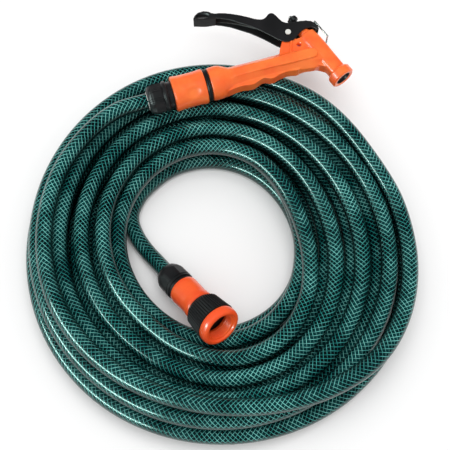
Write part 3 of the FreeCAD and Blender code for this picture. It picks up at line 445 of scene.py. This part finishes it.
# %% [markdown]
# ## The gun's body
# The body is one moulding: a round collar, a handle with flat facets and a raised
# band between two lines, a wavy finger rib, a plate that carries the lever's pin,
# and a squarish barrel. It could be sculpted, but separate forms keep their
# measures. The band and the rib are prisms with smooth outlines.


# %% The raised band and the finger rib
def eased(points, parts=5):
    """A smooth line through given points: each span is a cubic of its four neighbours."""
    p = np.asarray(points, float)
    p = np.concatenate([[2 * p[0] - p[1]], p, [2 * p[-1] - p[-2]]])
    t = (np.arange(parts) / parts)[None, :, None]
    a, b, c, d = p[:-3, None], p[1:-2, None], p[2:-1, None], p[3:, None]
    bend, twist = 2 * a - 5 * b + 4 * c - d, 3 * b - a - 3 * c + d
    run = 0.5 * (2 * b + (c - a) * t + bend * t ** 2 + twist * t ** 3)
    return np.concatenate([run.reshape(-1, 2), p[-2:-1]])


BAND_OUTLINE = [(24, -4.0), (60, -4.6), (102, -5.6), (109, -3.0), (109, 1.5), (102, 4.8), (60, 4.6),
                (24, 4.0)]
band = prism(eased(BAND_OUTLINE), 0.0, 12.0)
FINGER_WAVE = [(8.0, -14.0), (16.0, -13.2), (24.0, -12.0), (31.0, -11.8), (36.5, -12.8), (42.0, -12.8),
               (47.5, -10.8), (53.0, -9.6), (58.0, -11.8), (62.5, -12.0), (67.4, -10.4), (72.0, -9.6),
               (77.0, -9.0), (83.3, -10.0), (87.0, -10.6), (91.0, -9.6), (96.0, -9.2), (102.6, -9.2),
               (108.9, -11.6), (114.7, -15.6), (119.0, -21.5)]
RIB_BACK = [(124.0, -10.0), (104.0, 0.0), (30.0, 0.0), (13.0, -4.0)]
RIB_OUTWARDS = [0, 0.9]
rib = prism((eased(FINGER_WAVE) - RIB_OUTWARDS).tolist() + RIB_BACK, -7.2, 5.2)
print("band", len(band[0]) // 2, "and finger rib", len(rib[0]) // 2, "points round")

# %% [markdown]
# The handle is a loft: rings of points, each as wide and high as the handle is
# there, joined one to the next. Its eight corners give the flat facets.


# %% The handle's bar
def loft(rings):
    """Rings of points joined one to the next, with both ends closed."""
    rows, columns = rings.shape[:2]
    return rings.reshape(-1, 3), faces_between(rows, columns).tolist() + end_faces(rows, columns)


def bar(stations):
    """A bar along x with an eight-cornered section; each station is x, y, half width, half height."""
    x, y, wide, high = np.asarray(stations, float).T[:, :, None]
    corner_y = np.array([1, 1, 0.46, -0.46, -1, -1, -0.46, 0.46])
    corner_z = np.array([-0.36, 0.36, 1, 1, 0.36, -0.36, -1, -1])
    return loft(np.stack([x + 0 * corner_y, y + wide * corner_y, high * corner_z], -1))


handle = bar([(14, 0, 11.8, 11.6), (24, 0.2, 10.9, 11.2), (36, 0.5, 10.5, 11.0), (58, 0.6, 10.3, 10.6),
              (84, 0.3, 10.8, 10.2), (104, -1.5, 11.6, 9.4), (113, -3.5, 9.0, 8.2)])
print("handle", len(handle[1]), "faces")

# %% [markdown]
# The collar, the barrel and the bores are turned about two lines: the handle's own
# and the valve stem's, which leans back from it. A cosine of four times the angle
# makes the barrel squarish, with rounded corners.


# %% Turned forms
def line_in_plane(foot, direction):
    """A line in the gun's plane: its foot, its direction and the direction across it."""
    direction = np.append(np.asarray(direction, float), 0.0)
    direction /= np.linalg.norm(direction)
    across = np.array([-direction[1], direction[0], 0.0])
    return np.append(np.asarray(foot, float), 0.0), direction, across


def turned(profile, foot, direction, sides=48, corners=0.0):
    """Round form about a line in the gun's plane: distance along it and radius, turned.

    With corners above 0 the form is squarish, and swells halfway between the plane
    and its normal: r times 1 less corners times the cosine of four times the angle.
    """
    profile = np.asarray(profile, float)
    foot, direction, across = line_in_plane(foot, direction)
    angle = np.arange(sides) * 2 * np.pi / sides
    spread = 1 - corners * np.cos(4 * angle)
    ring = (across * (np.cos(angle) * spread)[:, None]
            + np.array([0, 0, 1.0]) * (np.sin(angle) * spread)[:, None])
    centre = foot + direction * profile[:, :1]
    return loft(centre[:, None] + ring * profile[:, 1:2, None])


HANDLE_LINE = ((0, 0), (1, 0))
STEM_LINE = ((104.21, 34.75), (-0.342, 0.9397))
COLLAR_PROFILE = [(0.0, 15.3), (0.8, 16.3), (8.5, 16.6), (12.0, 16.0), (16.0, 14.2), (20.0, 12.2),
                  (24.0, 10.9)]
BARREL_PROFILE = [(-66.0, 8.3), (-59.4, 8.3), (-58.6, 8.9), (-46.0, 9.1), (-30.0, 9.6), (-18.0, 9.5),
                  (-11.2, 8.8), (-10.0, 7.8)]
collar = turned(COLLAR_PROFILE, *HANDLE_LINE, sides=72)
barrel = turned(BARREL_PROFILE, *STEM_LINE, sides=64, corners=0.075)
print("collar", len(collar[1]), "and barrel", len(barrel[1]), "faces")

# %% [markdown]
# The ear carries the lever's pin, and a small gusset stands out on both its faces.
# The chamber, the valve's seat, the collar's socket, the pin's hole and a small spy
# hole are hollows.

# %% The ear and its gusset
ear = prism([(73.6, 6.0), (76.0, 14.0), (82.2, 24.5), (84.6, 30.5), (87.5, 33.8), (91.5, 33.8), (94.0, 30.6),
             (94.4, 23.0), (96.0, 21.6), (103.9, 22.6), (108.0, 23.4), (110.0, 4.0)], -5.6, 5.6)
gusset = prism([(84.5, 8.0), (86.5, 8.0), (91.6, 22.0), (89.8, 22.0)], -7.4, 7.4)
print("ear", len(ear[0]) // 2, "points round")


# %% The hollows
def straight_hole(centre, radius, half):
    """A round hole straight through the gun's plane, half of it to each side."""
    angle = np.arange(24) * np.pi / 12
    return prism(np.column_stack([centre[0] + radius * np.cos(angle), centre[1] + radius * np.sin(angle)]),
                 -half, half)


chamber = turned([(-52.0, 6.5), (-8.0, 6.5)], *STEM_LINE, sides=40)
seat_bore = turned([(-68.0, 3.5), (-51.5, 3.5)], *STEM_LINE, sides=32)
socket = turned([(-1.0, 8.0), (14.0, 8.0)], *HANDLE_LINE, sides=48)
PIN_HOLE_RADIUS = 2.08
SPY_HOLE, SPY_HOLE_RADIUS = (96.4, 14.9), 2.6
body_hollows = [chamber, seat_bore, socket, straight_hole(PIVOT, PIN_HOLE_RADIUS, half=9),
                straight_hole(SPY_HOLE, SPY_HOLE_RADIUS, half=16)]
print("hollows in the body", len(body_hollows))

# %% The gun's body
body_forms = [collar, handle, band, rib, ear, gusset, barrel]
body_mesh = one_skin("gun_body_shell", body_forms, BODY_SKIN, smoothing=4, place=on_gun,
                     hollows=body_hollows)
gun_shell = placed("gun_body_shell", body_mesh, "gun")
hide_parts("gun_body")

# %% [markdown]
# ## Round pieces
# The outer pieces of the connector and the adaptor are turned, with a few
# departures from round: shallow thumb hollows in the sleeve, facets and fine grip
# ribs on the nut. Each is one grid: a closed line of distance and radius, carried
# round the axis, with the radius changed where a formula says so.


# %% Round pieces with departures
def round_piece(profile, foot, direction, sides, change=None, steps=6):
    """A closed profile carried round an axis; change(distance, angle) is added to outer radii."""
    profile = np.asarray(profile, float)
    ahead = np.roll(profile, -1, axis=0)
    t = (np.arange(steps) / steps)[None, :, None]
    line = (profile[:, None] * (1 - t) + ahead[:, None] * t).reshape(-1, 2)
    angle = np.arange(sides) * 2 * np.pi / sides
    radius = line[:, 1:2] + np.zeros(sides)
    if change is not None:
        outer = line[:, 1:2] > 0.5 * (line[:, 1].min() + line[:, 1].max())
        radius = radius + np.where(outer, change(line[:, :1], angle[None]), 0)
    foot, direction, across = line_in_plane(foot, direction)
    ring = across * np.cos(angle)[:, None] + np.array([0, 0, 1.0]) * np.sin(angle)[:, None]
    centre = foot + direction * line[:, :1]
    points = centre[:, None] + ring * radius[..., None]
    return points.reshape(-1, 3), faces_between(len(line), sides, closed=True).tolist()


def single_piece(name, form, place, body, slot, *nodes):
    """One closed form as a smooth piece of the model."""
    mesh = bpy.data.meshes.new(name)
    mesh.from_pydata(place(form[0]).tolist(), [], form[1])
    mesh.shade_smooth()
    piece = placed(name, mesh, body)
    for node in nodes:
        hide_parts(node)
    return piece


square_ring = round_piece([(0, 1), (1, 1), (1, 2), (0, 2)], *HANDLE_LINE, sides=12, steps=1)
print("a ring of four corners, twelve points round:", len(square_ring[1]), "faces")

# %% [markdown]
# ## The gun connector's sleeve
# The sleeve is the part that fingers draw back to free the gun. It is waisted, and
# has an oval hollow for the thumb and one for a finger. They could be sculpted in,
# but a formula keeps them alike. The bore widens at the front, where the sleeve
# rides over the claws as it is drawn back.

# %% The release sleeve
THUMB_AT, THUMB_ANGLE, THUMB_DEPTH = -18.5, math.radians(128), 1.4
THUMB_HALF_LENGTH, THUMB_HALF_WIDTH, THUMB_RADIUS = 6.0, 5.0, 17.0


def thumb_hollows(x, angle):
    """Two oval hollows on opposite sides: a flat-bottomed bell over x and the way round."""
    turned_by = np.mod(angle - THUMB_ANGLE + np.pi / 2, np.pi) - np.pi / 2
    away = ((x - THUMB_AT) / THUMB_HALF_LENGTH) ** 2 + (turned_by * THUMB_RADIUS / THUMB_HALF_WIDTH) ** 2
    return -THUMB_DEPTH * np.exp(-away ** 2)


SLEEVE_PROFILE = [(-37.4, 15.6), (-36.8, 16.9), (-35.4, 17.3), (-30.0, 16.7), (-22.0, 16.5), (-12.0, 16.6),
                  (-8.0, 17.1), (-5.8, 17.1), (-4.9, 16.3), (-4.9, 14.8), (-8.2, 13.9), (-37.4, 13.9)]
sleeve_form = round_piece(SLEEVE_PROFILE, *HANDLE_LINE, sides=160, change=thumb_hollows)
sleeve = single_piece("gun_release_sleeve", sleeve_form, on_gun, "gun_sleeve", "orange_plastic",
                      "gun_connector_release_sleeve")

# %% [markdown]
# ## The gun connector's nut
# The nut clamps the hose. Hands turn it, so it has eight facets, and fine ribs on
# one half of each. The ribs could be a bump, but here they show in the outline, so
# they are real. Many points round the nut keep them sharp.

# %% The hose nut
NUT_RADIUS = 14.9
FACET_SHARE, RIB_HEIGHT, RIBS = 0.8, 0.28, 44
GRIP_FROM, FADE_IN = -62.0, 4.0
GRIP_TO, FADE_OUT = -46.6, 1.0


def nut_grip(x, angle):
    """Eight facets with fine ribs on one half of each, fading out towards the nut's ends."""
    inside = np.clip((x - GRIP_FROM) / FADE_IN, 0, 1) * np.clip((GRIP_TO - x) / FADE_OUT, 0, 1)
    facet = NUT_RADIUS * (math.cos(math.pi / 8) / np.cos(np.mod(angle, math.pi / 4) - math.pi / 8) - 1)
    ribbed = np.mod(angle * 4 / math.pi, 1) > 0.5
    return inside * (FACET_SHARE * facet + RIB_HEIGHT * np.sign(np.sin(angle * RIBS)) * ribbed)


NUT_PROFILE = [(-62.6, 9.6), (-62.4, 10.8), (-61.0, 12.8), (-59.0, 14.2), (-57.0, NUT_RADIUS),
               (-47.6, NUT_RADIUS), (-46.9, 14.0), (-46.2, 14.0), (-45.6, 15.2), (-43.4, 15.2),
               (-42.7, 14.5), (-42.7, 12.2), (-50.0, 8.3), (-62.6, 8.3)]
nut_form = round_piece(NUT_PROFILE, *HANDLE_LINE, sides=352, change=nut_grip)
nut = single_piece("gun_hose_nut", nut_form, on_gun, "hose", "black_plastic", "gun_connector_hose_nut")

# %% [markdown]
# ## The connector's black rings
# Between the sleeve and the gun shows a black rim with a groove, and between the
# sleeve and the nut a plain neck. Both belong to the connector's fixed body. They
# could be one long turned piece, but the sleeve hides all of it between them.

# %% The rim and the neck
RIM_PROFILE = [(-4.6, 14.2), (-4.2, 15.7), (-3.0, 16.1), (-2.5, 15.3), (-2.1, 15.3), (-1.6, 16.0),
               (-0.7, 15.8), (-0.4, 14.8), (-0.4, 13.4), (-4.6, 13.4)]
NECK_PROFILE = [(-43.0, 12.3), (-42.6, 13.4), (-38.2, 13.4), (-37.0, 13.1), (-37.0, 12.3)]
rim_form = round_piece(RIM_PROFILE, *HANDLE_LINE, sides=96)
neck_form = round_piece(NECK_PROFILE, *HANDLE_LINE, sides=96)
rim = single_piece("gun_connector_rim", rim_form, on_gun, "hose", "black_plastic")
neck = single_piece("gun_connector_neck", neck_form, on_gun, "hose", "black_plastic")

# %% [markdown]
# ## The adaptor's threaded mouth
# The tap screws into this orange ring: a rounded lip, a short funnel and an inner
# thread. The adaptor has an axis of its own, which rises out of the coil. The
# thread could be a helix, but at under two pixels a turn, closed grooves side by
# side look the same and stay one closed surface.

# %% The adaptor's own axis
TAP_FRONT = np.array([-0.00062, -0.11115, 0.05260])
TAP_HEADING = np.array([0.59699, -0.68676, 0.41469])
TAP_SIDE = np.cross([0, 0, 1.0], TAP_HEADING) / math.hypot(TAP_HEADING[0], TAP_HEADING[1])
TAP_AXES = np.stack([TAP_HEADING, TAP_SIDE, np.cross(TAP_HEADING, TAP_SIDE)])


def on_tap(points):
    """Millimetres along the adaptor's axis, with 0 at its mouth, as places in the model, in metres."""
    return TAP_FRONT + np.asarray(points) / 1000 @ TAP_AXES


print("the adaptor rises at %.1f degrees" % math.degrees(math.asin(TAP_HEADING[2])))

# %% The threaded mouth
THREAD_FROM, THREAD_STEP, THREAD_STEPS = -2.2, 0.9, 10
THREAD_CREST, THREAD_ROOT = 12.15, 12.9
thread = [(THREAD_FROM - THREAD_STEP * step, THREAD_CREST if step % 2 else THREAD_ROOT)
          for step in range(THREAD_STEPS)]
LIP = [(-8.9, 18.2), (-8.6, 19.4), (-6.4, 19.9), (-3.4, 19.8), (-1.6, 19.3), (-0.5, 18.2),
       (-0.1, 17.2), (-0.1, 15.7), (-0.35, 15.3), (-1.9, 14.4), (-2.1, 13.6)]
FOOT = [(-11.2, THREAD_CREST), (-11.2, 12.95), (-13.8, 12.95), (-13.8, 16.3), (-8.9, 16.3)]
mouth_form = round_piece(LIP + thread + FOOT, *HANDLE_LINE, sides=96, steps=4)
mouth = single_piece("tap_mouth", mouth_form, on_tap, "adaptor", "orange_plastic", "adaptor_insert")

# %% [markdown]
# ## The nozzle's cup
# Inside the muzzle sits a dark cup with a small outlet, on the barrel's line. It
# could be a hollow in the body, but on the real gun it is a piece of its own, so it
# is turned by itself.

# %% The nozzle's cup
CUP_PROFILE = [(-69.4, 7.9), (-69.4, 7.2), (-67.0, 6.6), (-66.2, 3.0), (-66.1, 3.0), (-66.1, 7.6),
               (-68.6, 7.7)]
cup_form = round_piece(CUP_PROFILE, *STEM_LINE, sides=64)
cup = single_piece("nozzle_cup", cup_form, on_gun, "gun", "black_plastic", "nozzle_tip")

# %% [markdown]
# ## Shader arithmetic
# A material is a recipe of numbers that vary over the surface. The small class
# below lets such numbers be written as plain expressions: each operator adds the
# Math node that does it.


# %% Writing shader maths as expressions
class Amount:
    """A number that varies over a surface, standing for one output socket."""

    def __init__(self, recipe, socket):
        self.recipe = recipe
        self.socket = socket

    def _with(self, operation, *others, swapped=False):
        values = [*others, self] if swapped else [self, *others]
        return self.recipe.add("ShaderNodeMath", {"operation": operation}, *values)

    def __add__(self, other):
        return self._with("ADD", other)

    def __sub__(self, other):
        return self._with("SUBTRACT", other)

    def __rsub__(self, other):
        return self._with("SUBTRACT", other, swapped=True)

    def __mul__(self, other):
        return self._with("MULTIPLY", other)

    def __truediv__(self, other):
        return self._with("DIVIDE", other)

    def __rtruediv__(self, other):
        return self._with("DIVIDE", other, swapped=True)

    __radd__ = __add__
    __rmul__ = __mul__

    def part(self):
        """What is left after the whole number is taken away."""
        return self._with("FRACT")

    def size(self):
        """The number without its sign."""
        return self._with("ABSOLUTE")

    def beside(self, output):
        """Another output of the same node."""
        return Amount(self.recipe, self.socket.node.outputs[output])


print("an amount's own methods:", [name for name in vars(Amount) if name[0] != "_"])

# %% [markdown]
# Any other node comes from one method: its type, its settings, then the values or
# links of its sockets. A material and the sky are both such recipes of nodes.


# %% A recipe of nodes
class Recipe:
    """A node tree being built: a material's or the world's."""

    def __init__(self, tree):
        self.nodes = tree.nodes
        self.links = tree.links

    def add(self, kind, settings=None, *values, out=0, **named):
        """A node of one kind: its settings first, then values or links for its sockets."""
        node = self.nodes.new(kind)
        for key, value in (settings or {}).items():
            setattr(node, key, value)
        for socket, value in list(enumerate(values)) + [(k.replace("_", " "), v) for k, v in named.items()]:
            self.feed(node, socket, value)
        return Amount(self, node.outputs[out])

    def feed(self, node, socket, value):
        """A value or a link for one socket."""
        if isinstance(value, Amount):
            self.links.new(value.socket, node.inputs[socket])
        else:
            node.inputs[socket].default_value = value


def paint(red, green, blue):
    """An sRGB colour from 0 to 255 as the linear colour that shaders use."""
    c = np.array([red, green, blue]) / 255
    linear = np.where(c <= 0.04045, c / 12.92, ((c + 0.055) / 1.055) ** 2.4)
    return (*linear.tolist(), 1.0)


print("middle grey in linear light", round(paint(128, 128, 128)[0], 3))


# %% A finish
class Finish(Recipe):
    """A node material being built."""

    def __init__(self, name):
        self.material = bpy.data.materials.new(name)
        self.material.use_nodes = True
        super().__init__(self.material.node_tree)
        self.shader = self.nodes["Principled BSDF"]

    def set(self, **sockets):
        """Values or links for the shader's own sockets."""
        for key, value in sockets.items():
            self.feed(self.shader, key.replace("_", " "), value)

    def colour_mix(self, factor, first, second):
        """From the first colour at 0 to the second at 1; the colour sockets are 6 and 7."""
        mixed = self.add("ShaderNodeMix", {"data_type": "RGBA"}, factor, out=2)
        self.feed(mixed.socket.node, 6, first)
        self.feed(mixed.socket.node, 7, second)
        return mixed

    def smooth(self, value, low, high):
        """0 below low, 1 above high, eased between."""
        smoothly = {"interpolation_type": "SMOOTHSTEP"}
        return self.add("ShaderNodeMapRange", smoothly, value, low, high, 0.0, 1.0)

    def noise(self, where, scale, detail=3.0, rough=0.5):
        """Cloudy numbers around a half, with so many clouds to the metre."""
        return self.add("ShaderNodeTexNoise", None, Vector=where, Scale=scale, Detail=detail, Roughness=rough)

    def bump(self, height, strength, distance):
        """A tilted normal from a height; distance is the height's real size, in metres."""
        return self.add("ShaderNodeBump", None, Height=height, Strength=strength, Distance=distance)

    def place(self):
        """Where a point lies in the model."""
        return self.add("ShaderNodeTexCoord", out="Object")


print("a finish's own methods:", [name for name in vars(Finish) if name[0] != "_"])

# %% [markdown]
# ## Braided vinyl
# The hose is a clear green vinyl tube over a braid of thin yarns, ten each way,
# each at about 45 degrees to the hose's length. A picture could be wrapped round
# the tube, but stripes from a formula stay sharp: two sets that slant, from the
# length along the hose and the place round it. One set is painted brighter on one
# side of the hose and the other set on the other, as a painted sheen where each
# set's yarns catch the light, so that they make chevrons along its top: a cosine of
# the place round the hose weighs them. Gaps between yarns look nearly black, and
# painted shade darkens the colour towards the tube's sides and underside. The
# clear coat is stronger over the yarns, which breaks up the highlight.

# %% The hose's finish
YARNS = 10.0
YARN_PITCH = 0.0046
BLEND_HALF = 0.30   # half of the blend from one set to the other, in the cosine


def braided_vinyl():
    """Two sets of yarns over a dark ground, each set with painted sheen on its own side, and painted shade towards
    the sides and underside.
    """
    finish = Finish("braided_vinyl")
    run = finish.add("ShaderNodeUVMap", {"uv_map": "run"})
    along = finish.add("ShaderNodeSeparateXYZ", None, run)
    around = along.beside(1)
    place = finish.place()
    wander = (finish.noise(place, 55.0, 2.0) - 0.5) * 0.7
    first = along / YARN_PITCH + around * YARNS + wander
    second = along / YARN_PITCH - around * YARNS + wander
    ridge_a = 1.0 - (first.part() - 0.5).size() * 2.0
    ridge_b = 1.0 - (second.part() - 0.5).size() * 2.0
    turned_in = finish.add("ShaderNodeMath", {"operation": "COSINE"}, around * (2 * math.pi))
    turned_up = finish.add("ShaderNodeMath", {"operation": "SINE"}, around * (2 * math.pi))
    patch = finish.smooth(finish.noise(place, 38.0, 4.0, 0.6), 0.35, 0.65)
    both = finish.smooth(finish.noise(place, 16.0, 2.0), 0.45, 0.65) * 0.4 + 0.25
    # Painted sheen: each set of yarns is drawn brighter on the side of the hose where it catches the light, and
    # fainter on the other.
    sheen_weight_a = finish.smooth(turned_in * -1.0, -BLEND_HALF, BLEND_HALF) + both
    sheen_weight_b = finish.smooth(turned_in, -BLEND_HALF, BLEND_HALF) + both
    yarn_a = finish.smooth(ridge_a, 0.80, 1.0) * sheen_weight_a
    yarn_b = finish.smooth(ridge_b, 0.80, 1.0) * sheen_weight_b
    height = finish.add("ShaderNodeMath", {"operation": "MAXIMUM", "use_clamp": True}, yarn_a, yarn_b)
    ground = finish.colour_mix(patch, paint(0, 22, 28), paint(0, 54, 55))
    yarn = finish.colour_mix(patch, paint(48, 158, 152), paint(158, 239, 233))
    # Painted shade: the colour darkens to nearly black towards the tube's sides and underside, and is full only on
    # top.
    painted_top_light = finish.smooth(turned_up, 0.1, 0.98)
    colour = finish.colour_mix(painted_top_light, paint(0, 8, 12), finish.colour_mix(height, ground, yarn))
    finish.set(Base_Color=colour, Roughness=0.26, Coat_Weight=height * 0.65 + 0.25, Coat_Roughness=0.07,
               Coat_Tint=(0.75, 1.0, 0.96, 1.0), Specular_IOR_Level=0.5,
               Specular_Tint=(0.62, 1.0, 0.93, 1.0), Normal=finish.bump(height, 0.6, 0.0006))
    return finish.material


finishes = {"hose_pvc": braided_vinyl()}
print("braided vinyl", len(finishes["hose_pvc"].node_tree.nodes), "nodes")

# %% [markdown]
# ## Moulded plastics and rubber
# The fittings are moulded: a slightly grained black, and a smoother orange whose
# tone drifts a little. A plain colour would look like paint, so fine noise varies
# the roughness and the bump.


# %% Moulded finishes
def moulded(name, light, dark, roughness, grain, depth, coat=0.0):
    """Plastic whose colour drifts between two tones, with a fine moulded grain."""
    finish = Finish(name)
    place = finish.place()
    drift = finish.smooth(finish.noise(place, 45.0, 3.0), 0.3, 0.7)
    fine = finish.noise(place, grain, 2.0, 0.6)
    flow = finish.noise(place, 320.0, 4.0, 0.55)
    finish.set(Base_Color=finish.colour_mix(drift, dark, light),
               Roughness=roughness + (flow - 0.5) * 0.22,
               Coat_Weight=coat, Coat_Roughness=0.15,
               Normal=finish.bump(fine * 0.6 + flow * 0.4, 0.25, depth))
    return finish.material


finishes["black_plastic"] = moulded("black_plastic", paint(34, 33, 35), paint(24, 24, 26),
                                    roughness=0.42, grain=1800.0, depth=0.00012)
finishes["orange_plastic"] = moulded("orange_plastic", paint(255, 125, 52), paint(250, 99, 38),
                                     roughness=0.34, grain=1500.0, depth=0.00006, coat=0.25)
finishes["deep_orange"] = moulded("deep_orange", paint(255, 106, 44), paint(248, 84, 34),
                                  roughness=0.32, grain=1500.0, depth=0.00006, coat=0.25)
finishes["white_plastic"] = moulded("white_plastic", paint(226, 226, 220), paint(206, 206, 200),
                                    roughness=0.4, grain=1500.0, depth=0.00006)
finishes["black_rubber"] = moulded("black_rubber", paint(34, 34, 34), paint(24, 24, 24),
                                   roughness=0.6, grain=1400.0, depth=0.00008)
print("finishes", list(finishes))

# %% [markdown]
# ## Drawn steel
# The wire catch and the springs are drawn wire. A bare metal would be a mirror;
# fine streaks and a little dulling make it look handled.


# %% The steel's finish
def drawn_steel():
    """Bright wire with fine streaks and a little dulling."""
    finish = Finish("drawn_steel")
    place = finish.place()
    streak = finish.noise(place, 900.0, 2.0)
    dull = finish.smooth(finish.noise(place, 120.0, 3.0), 0.35, 0.7)
    finish.set(Base_Color=finish.colour_mix(dull, paint(150, 150, 150), paint(215, 215, 212)), Metallic=1.0,
               Roughness=0.22 + dull * 0.18, Normal=finish.bump(streak, 0.2, 0.0001))
    return finish.material


finishes["steel"] = drawn_steel()
print("steel", len(finishes["steel"].node_tree.nodes), "nodes")

# %% [markdown]
# Each new piece takes its finish, and each packed node the finish of its material
# slot. The orange fittings at the tap's end look a little redder than the gun, so
# they take a deeper orange. A packed mesh is loose triangles with its own normals,
# so only its materials are set.

# %% Finishes on the pieces
hose.data.materials.append(finishes["hose_pvc"])
for piece in (lever, nut, rim, neck, cup):
    piece.data.materials.append(finishes["black_plastic"])
for piece in (gun_shell, sleeve):
    piece.data.materials.append(finishes["orange_plastic"])
mouth.data.materials.append(finishes["deep_orange"])

slot_of = {entry["node"]: entry["material_slot"] for entry in frame["record"]["subparts"]}
for node, piece in frame["nodes"].items():
    finish_name = "deep_orange" if node == "tap_connector_release_sleeve" else slot_of[node]
    piece.data.materials.clear()
    piece.data.materials.append(finishes[finish_name])
print("finished", len(slot_of), "nodes")

# %% [markdown]
# ## Floor, light and camera
# The photograph is a cut-out on a nearly white ground, seen from well above. The
# floor is a pale sheet that keeps the object's shadow. It could end near the
# object, but a wide one also fills the ground of lower views.

# %% The floor
FLOOR_HALF = 20.0
floor_corners = [(FLOOR_HALF * x, FLOOR_HALF * y, 0) for x, y in ((-1, -1), (1, -1), (1, 1), (-1, 1))]
floor_mesh = bpy.data.meshes.new("floor")
floor_mesh.from_pydata(floor_corners, [], [(0, 1, 2, 3)])
floor = bpy.data.objects.new("floor", floor_mesh)
bpy.context.scene.collection.objects.link(floor)
floor_finish = Finish("floor")
floor_finish.set(Base_Color=paint(250, 250, 250), Roughness=0.9, Specular_IOR_Level=0.1)
floor_mesh.materials.append(floor_finish.material)
print("floor", 2 * FLOOR_HALF, "m wide")

# %% [markdown]
# One large soft lamp overhead lights the object evenly. It isn't seen in glossy
# surfaces, since a broad pale sheen would hide the braid. One narrow strip, low at
# the left front, is seen in glossy surfaces alone and gives the thin bright lines.


# %% The lamps
def soft_lamp(name, place, width, height, power):
    """A rectangular lamp that faces the middle of the floor."""
    lamp = bpy.data.lights.new(name, "AREA")
    lamp.shape = "RECTANGLE"
    lamp.size, lamp.size_y = width, height
    lamp.energy = power
    holder = bpy.data.objects.new(name, lamp)
    holder.location = place
    holder.rotation_euler = Vector(place).to_track_quat("Z", "Y").to_euler()
    bpy.context.scene.collection.objects.link(holder)
    print(name, "lamp", power, "W")
    return holder


overhead = soft_lamp("overhead", (0.0, 0.1, 1.6), 1.1, 1.1, 11.5)
overhead.visible_glossy = False
highlight = soft_lamp("highlight_strip", (-1.1, -0.85, 0.85), 1.5, 0.30, 46)
highlight.visible_diffuse = False
highlight.data.color = (0.80, 1.0, 0.97)

# %% [markdown]
# The sky fills the shadows. Glossy surfaces see it dark, so that the black pieces
# stay black, and the camera sees it white.

# %% The sky
SKY_LIGHT = 0.78
SKY_REFLECTED = 0.04
world = bpy.data.worlds.new("studio")
bpy.context.scene.world = world
world.use_nodes = True
sky = Recipe(world.node_tree)
glossy_ray = sky.add("ShaderNodeLightPath", out="Is Glossy Ray")
dimmed = sky.add("ShaderNodeMapRange", None, glossy_ray, To_Min=SKY_LIGHT, To_Max=SKY_REFLECTED)
strength = sky.add("ShaderNodeMath", {"operation": "MAXIMUM"}, dimmed, glossy_ray.beside("Is Camera Ray"))
sky.feed(sky.nodes["Background"], "Strength", strength)
sky.feed(sky.nodes["Background"], "Color", (1.0, 1.0, 1.0, 1.0))
print("sky", SKY_LIGHT, "and", SKY_REFLECTED, "in glossy surfaces")

# %% [markdown]
# The camera stands 72 degrees above the floor. Its lens is given in pixels of the
# square picture, as it was found by laying the model over the photograph.

# %% The camera
ELEVATION = math.radians(72.0)
DISTANCE = 0.800
LENS_PIXELS, HALF_PICTURE_PIXELS = 824.0, 225.0
aim = Vector((0.0010, 0.0100, 0.0300)) + Vector(COIL_CENTRE)
camera_data = bpy.data.cameras.new("camera")
camera_data.sensor_width = 36.0
camera_data.lens = camera_data.sensor_width / 2 / (HALF_PICTURE_PIXELS / LENS_PIXELS)
camera = bpy.data.objects.new("camera", camera_data)
back = Vector((0.0, -math.cos(ELEVATION), math.sin(ELEVATION)))
camera.location = aim + back * DISTANCE
camera.rotation_euler = back.to_track_quat("Z", "Y").to_euler()
bpy.context.scene.collection.objects.link(camera)
bpy.context.scene.camera = camera
bpy.context.scene.view_settings.view_transform = "Standard"
print("camera at", tuple(round(part, 3) for part in camera.location), "lens %.1f mm" % camera_data.lens)

# %% [markdown]
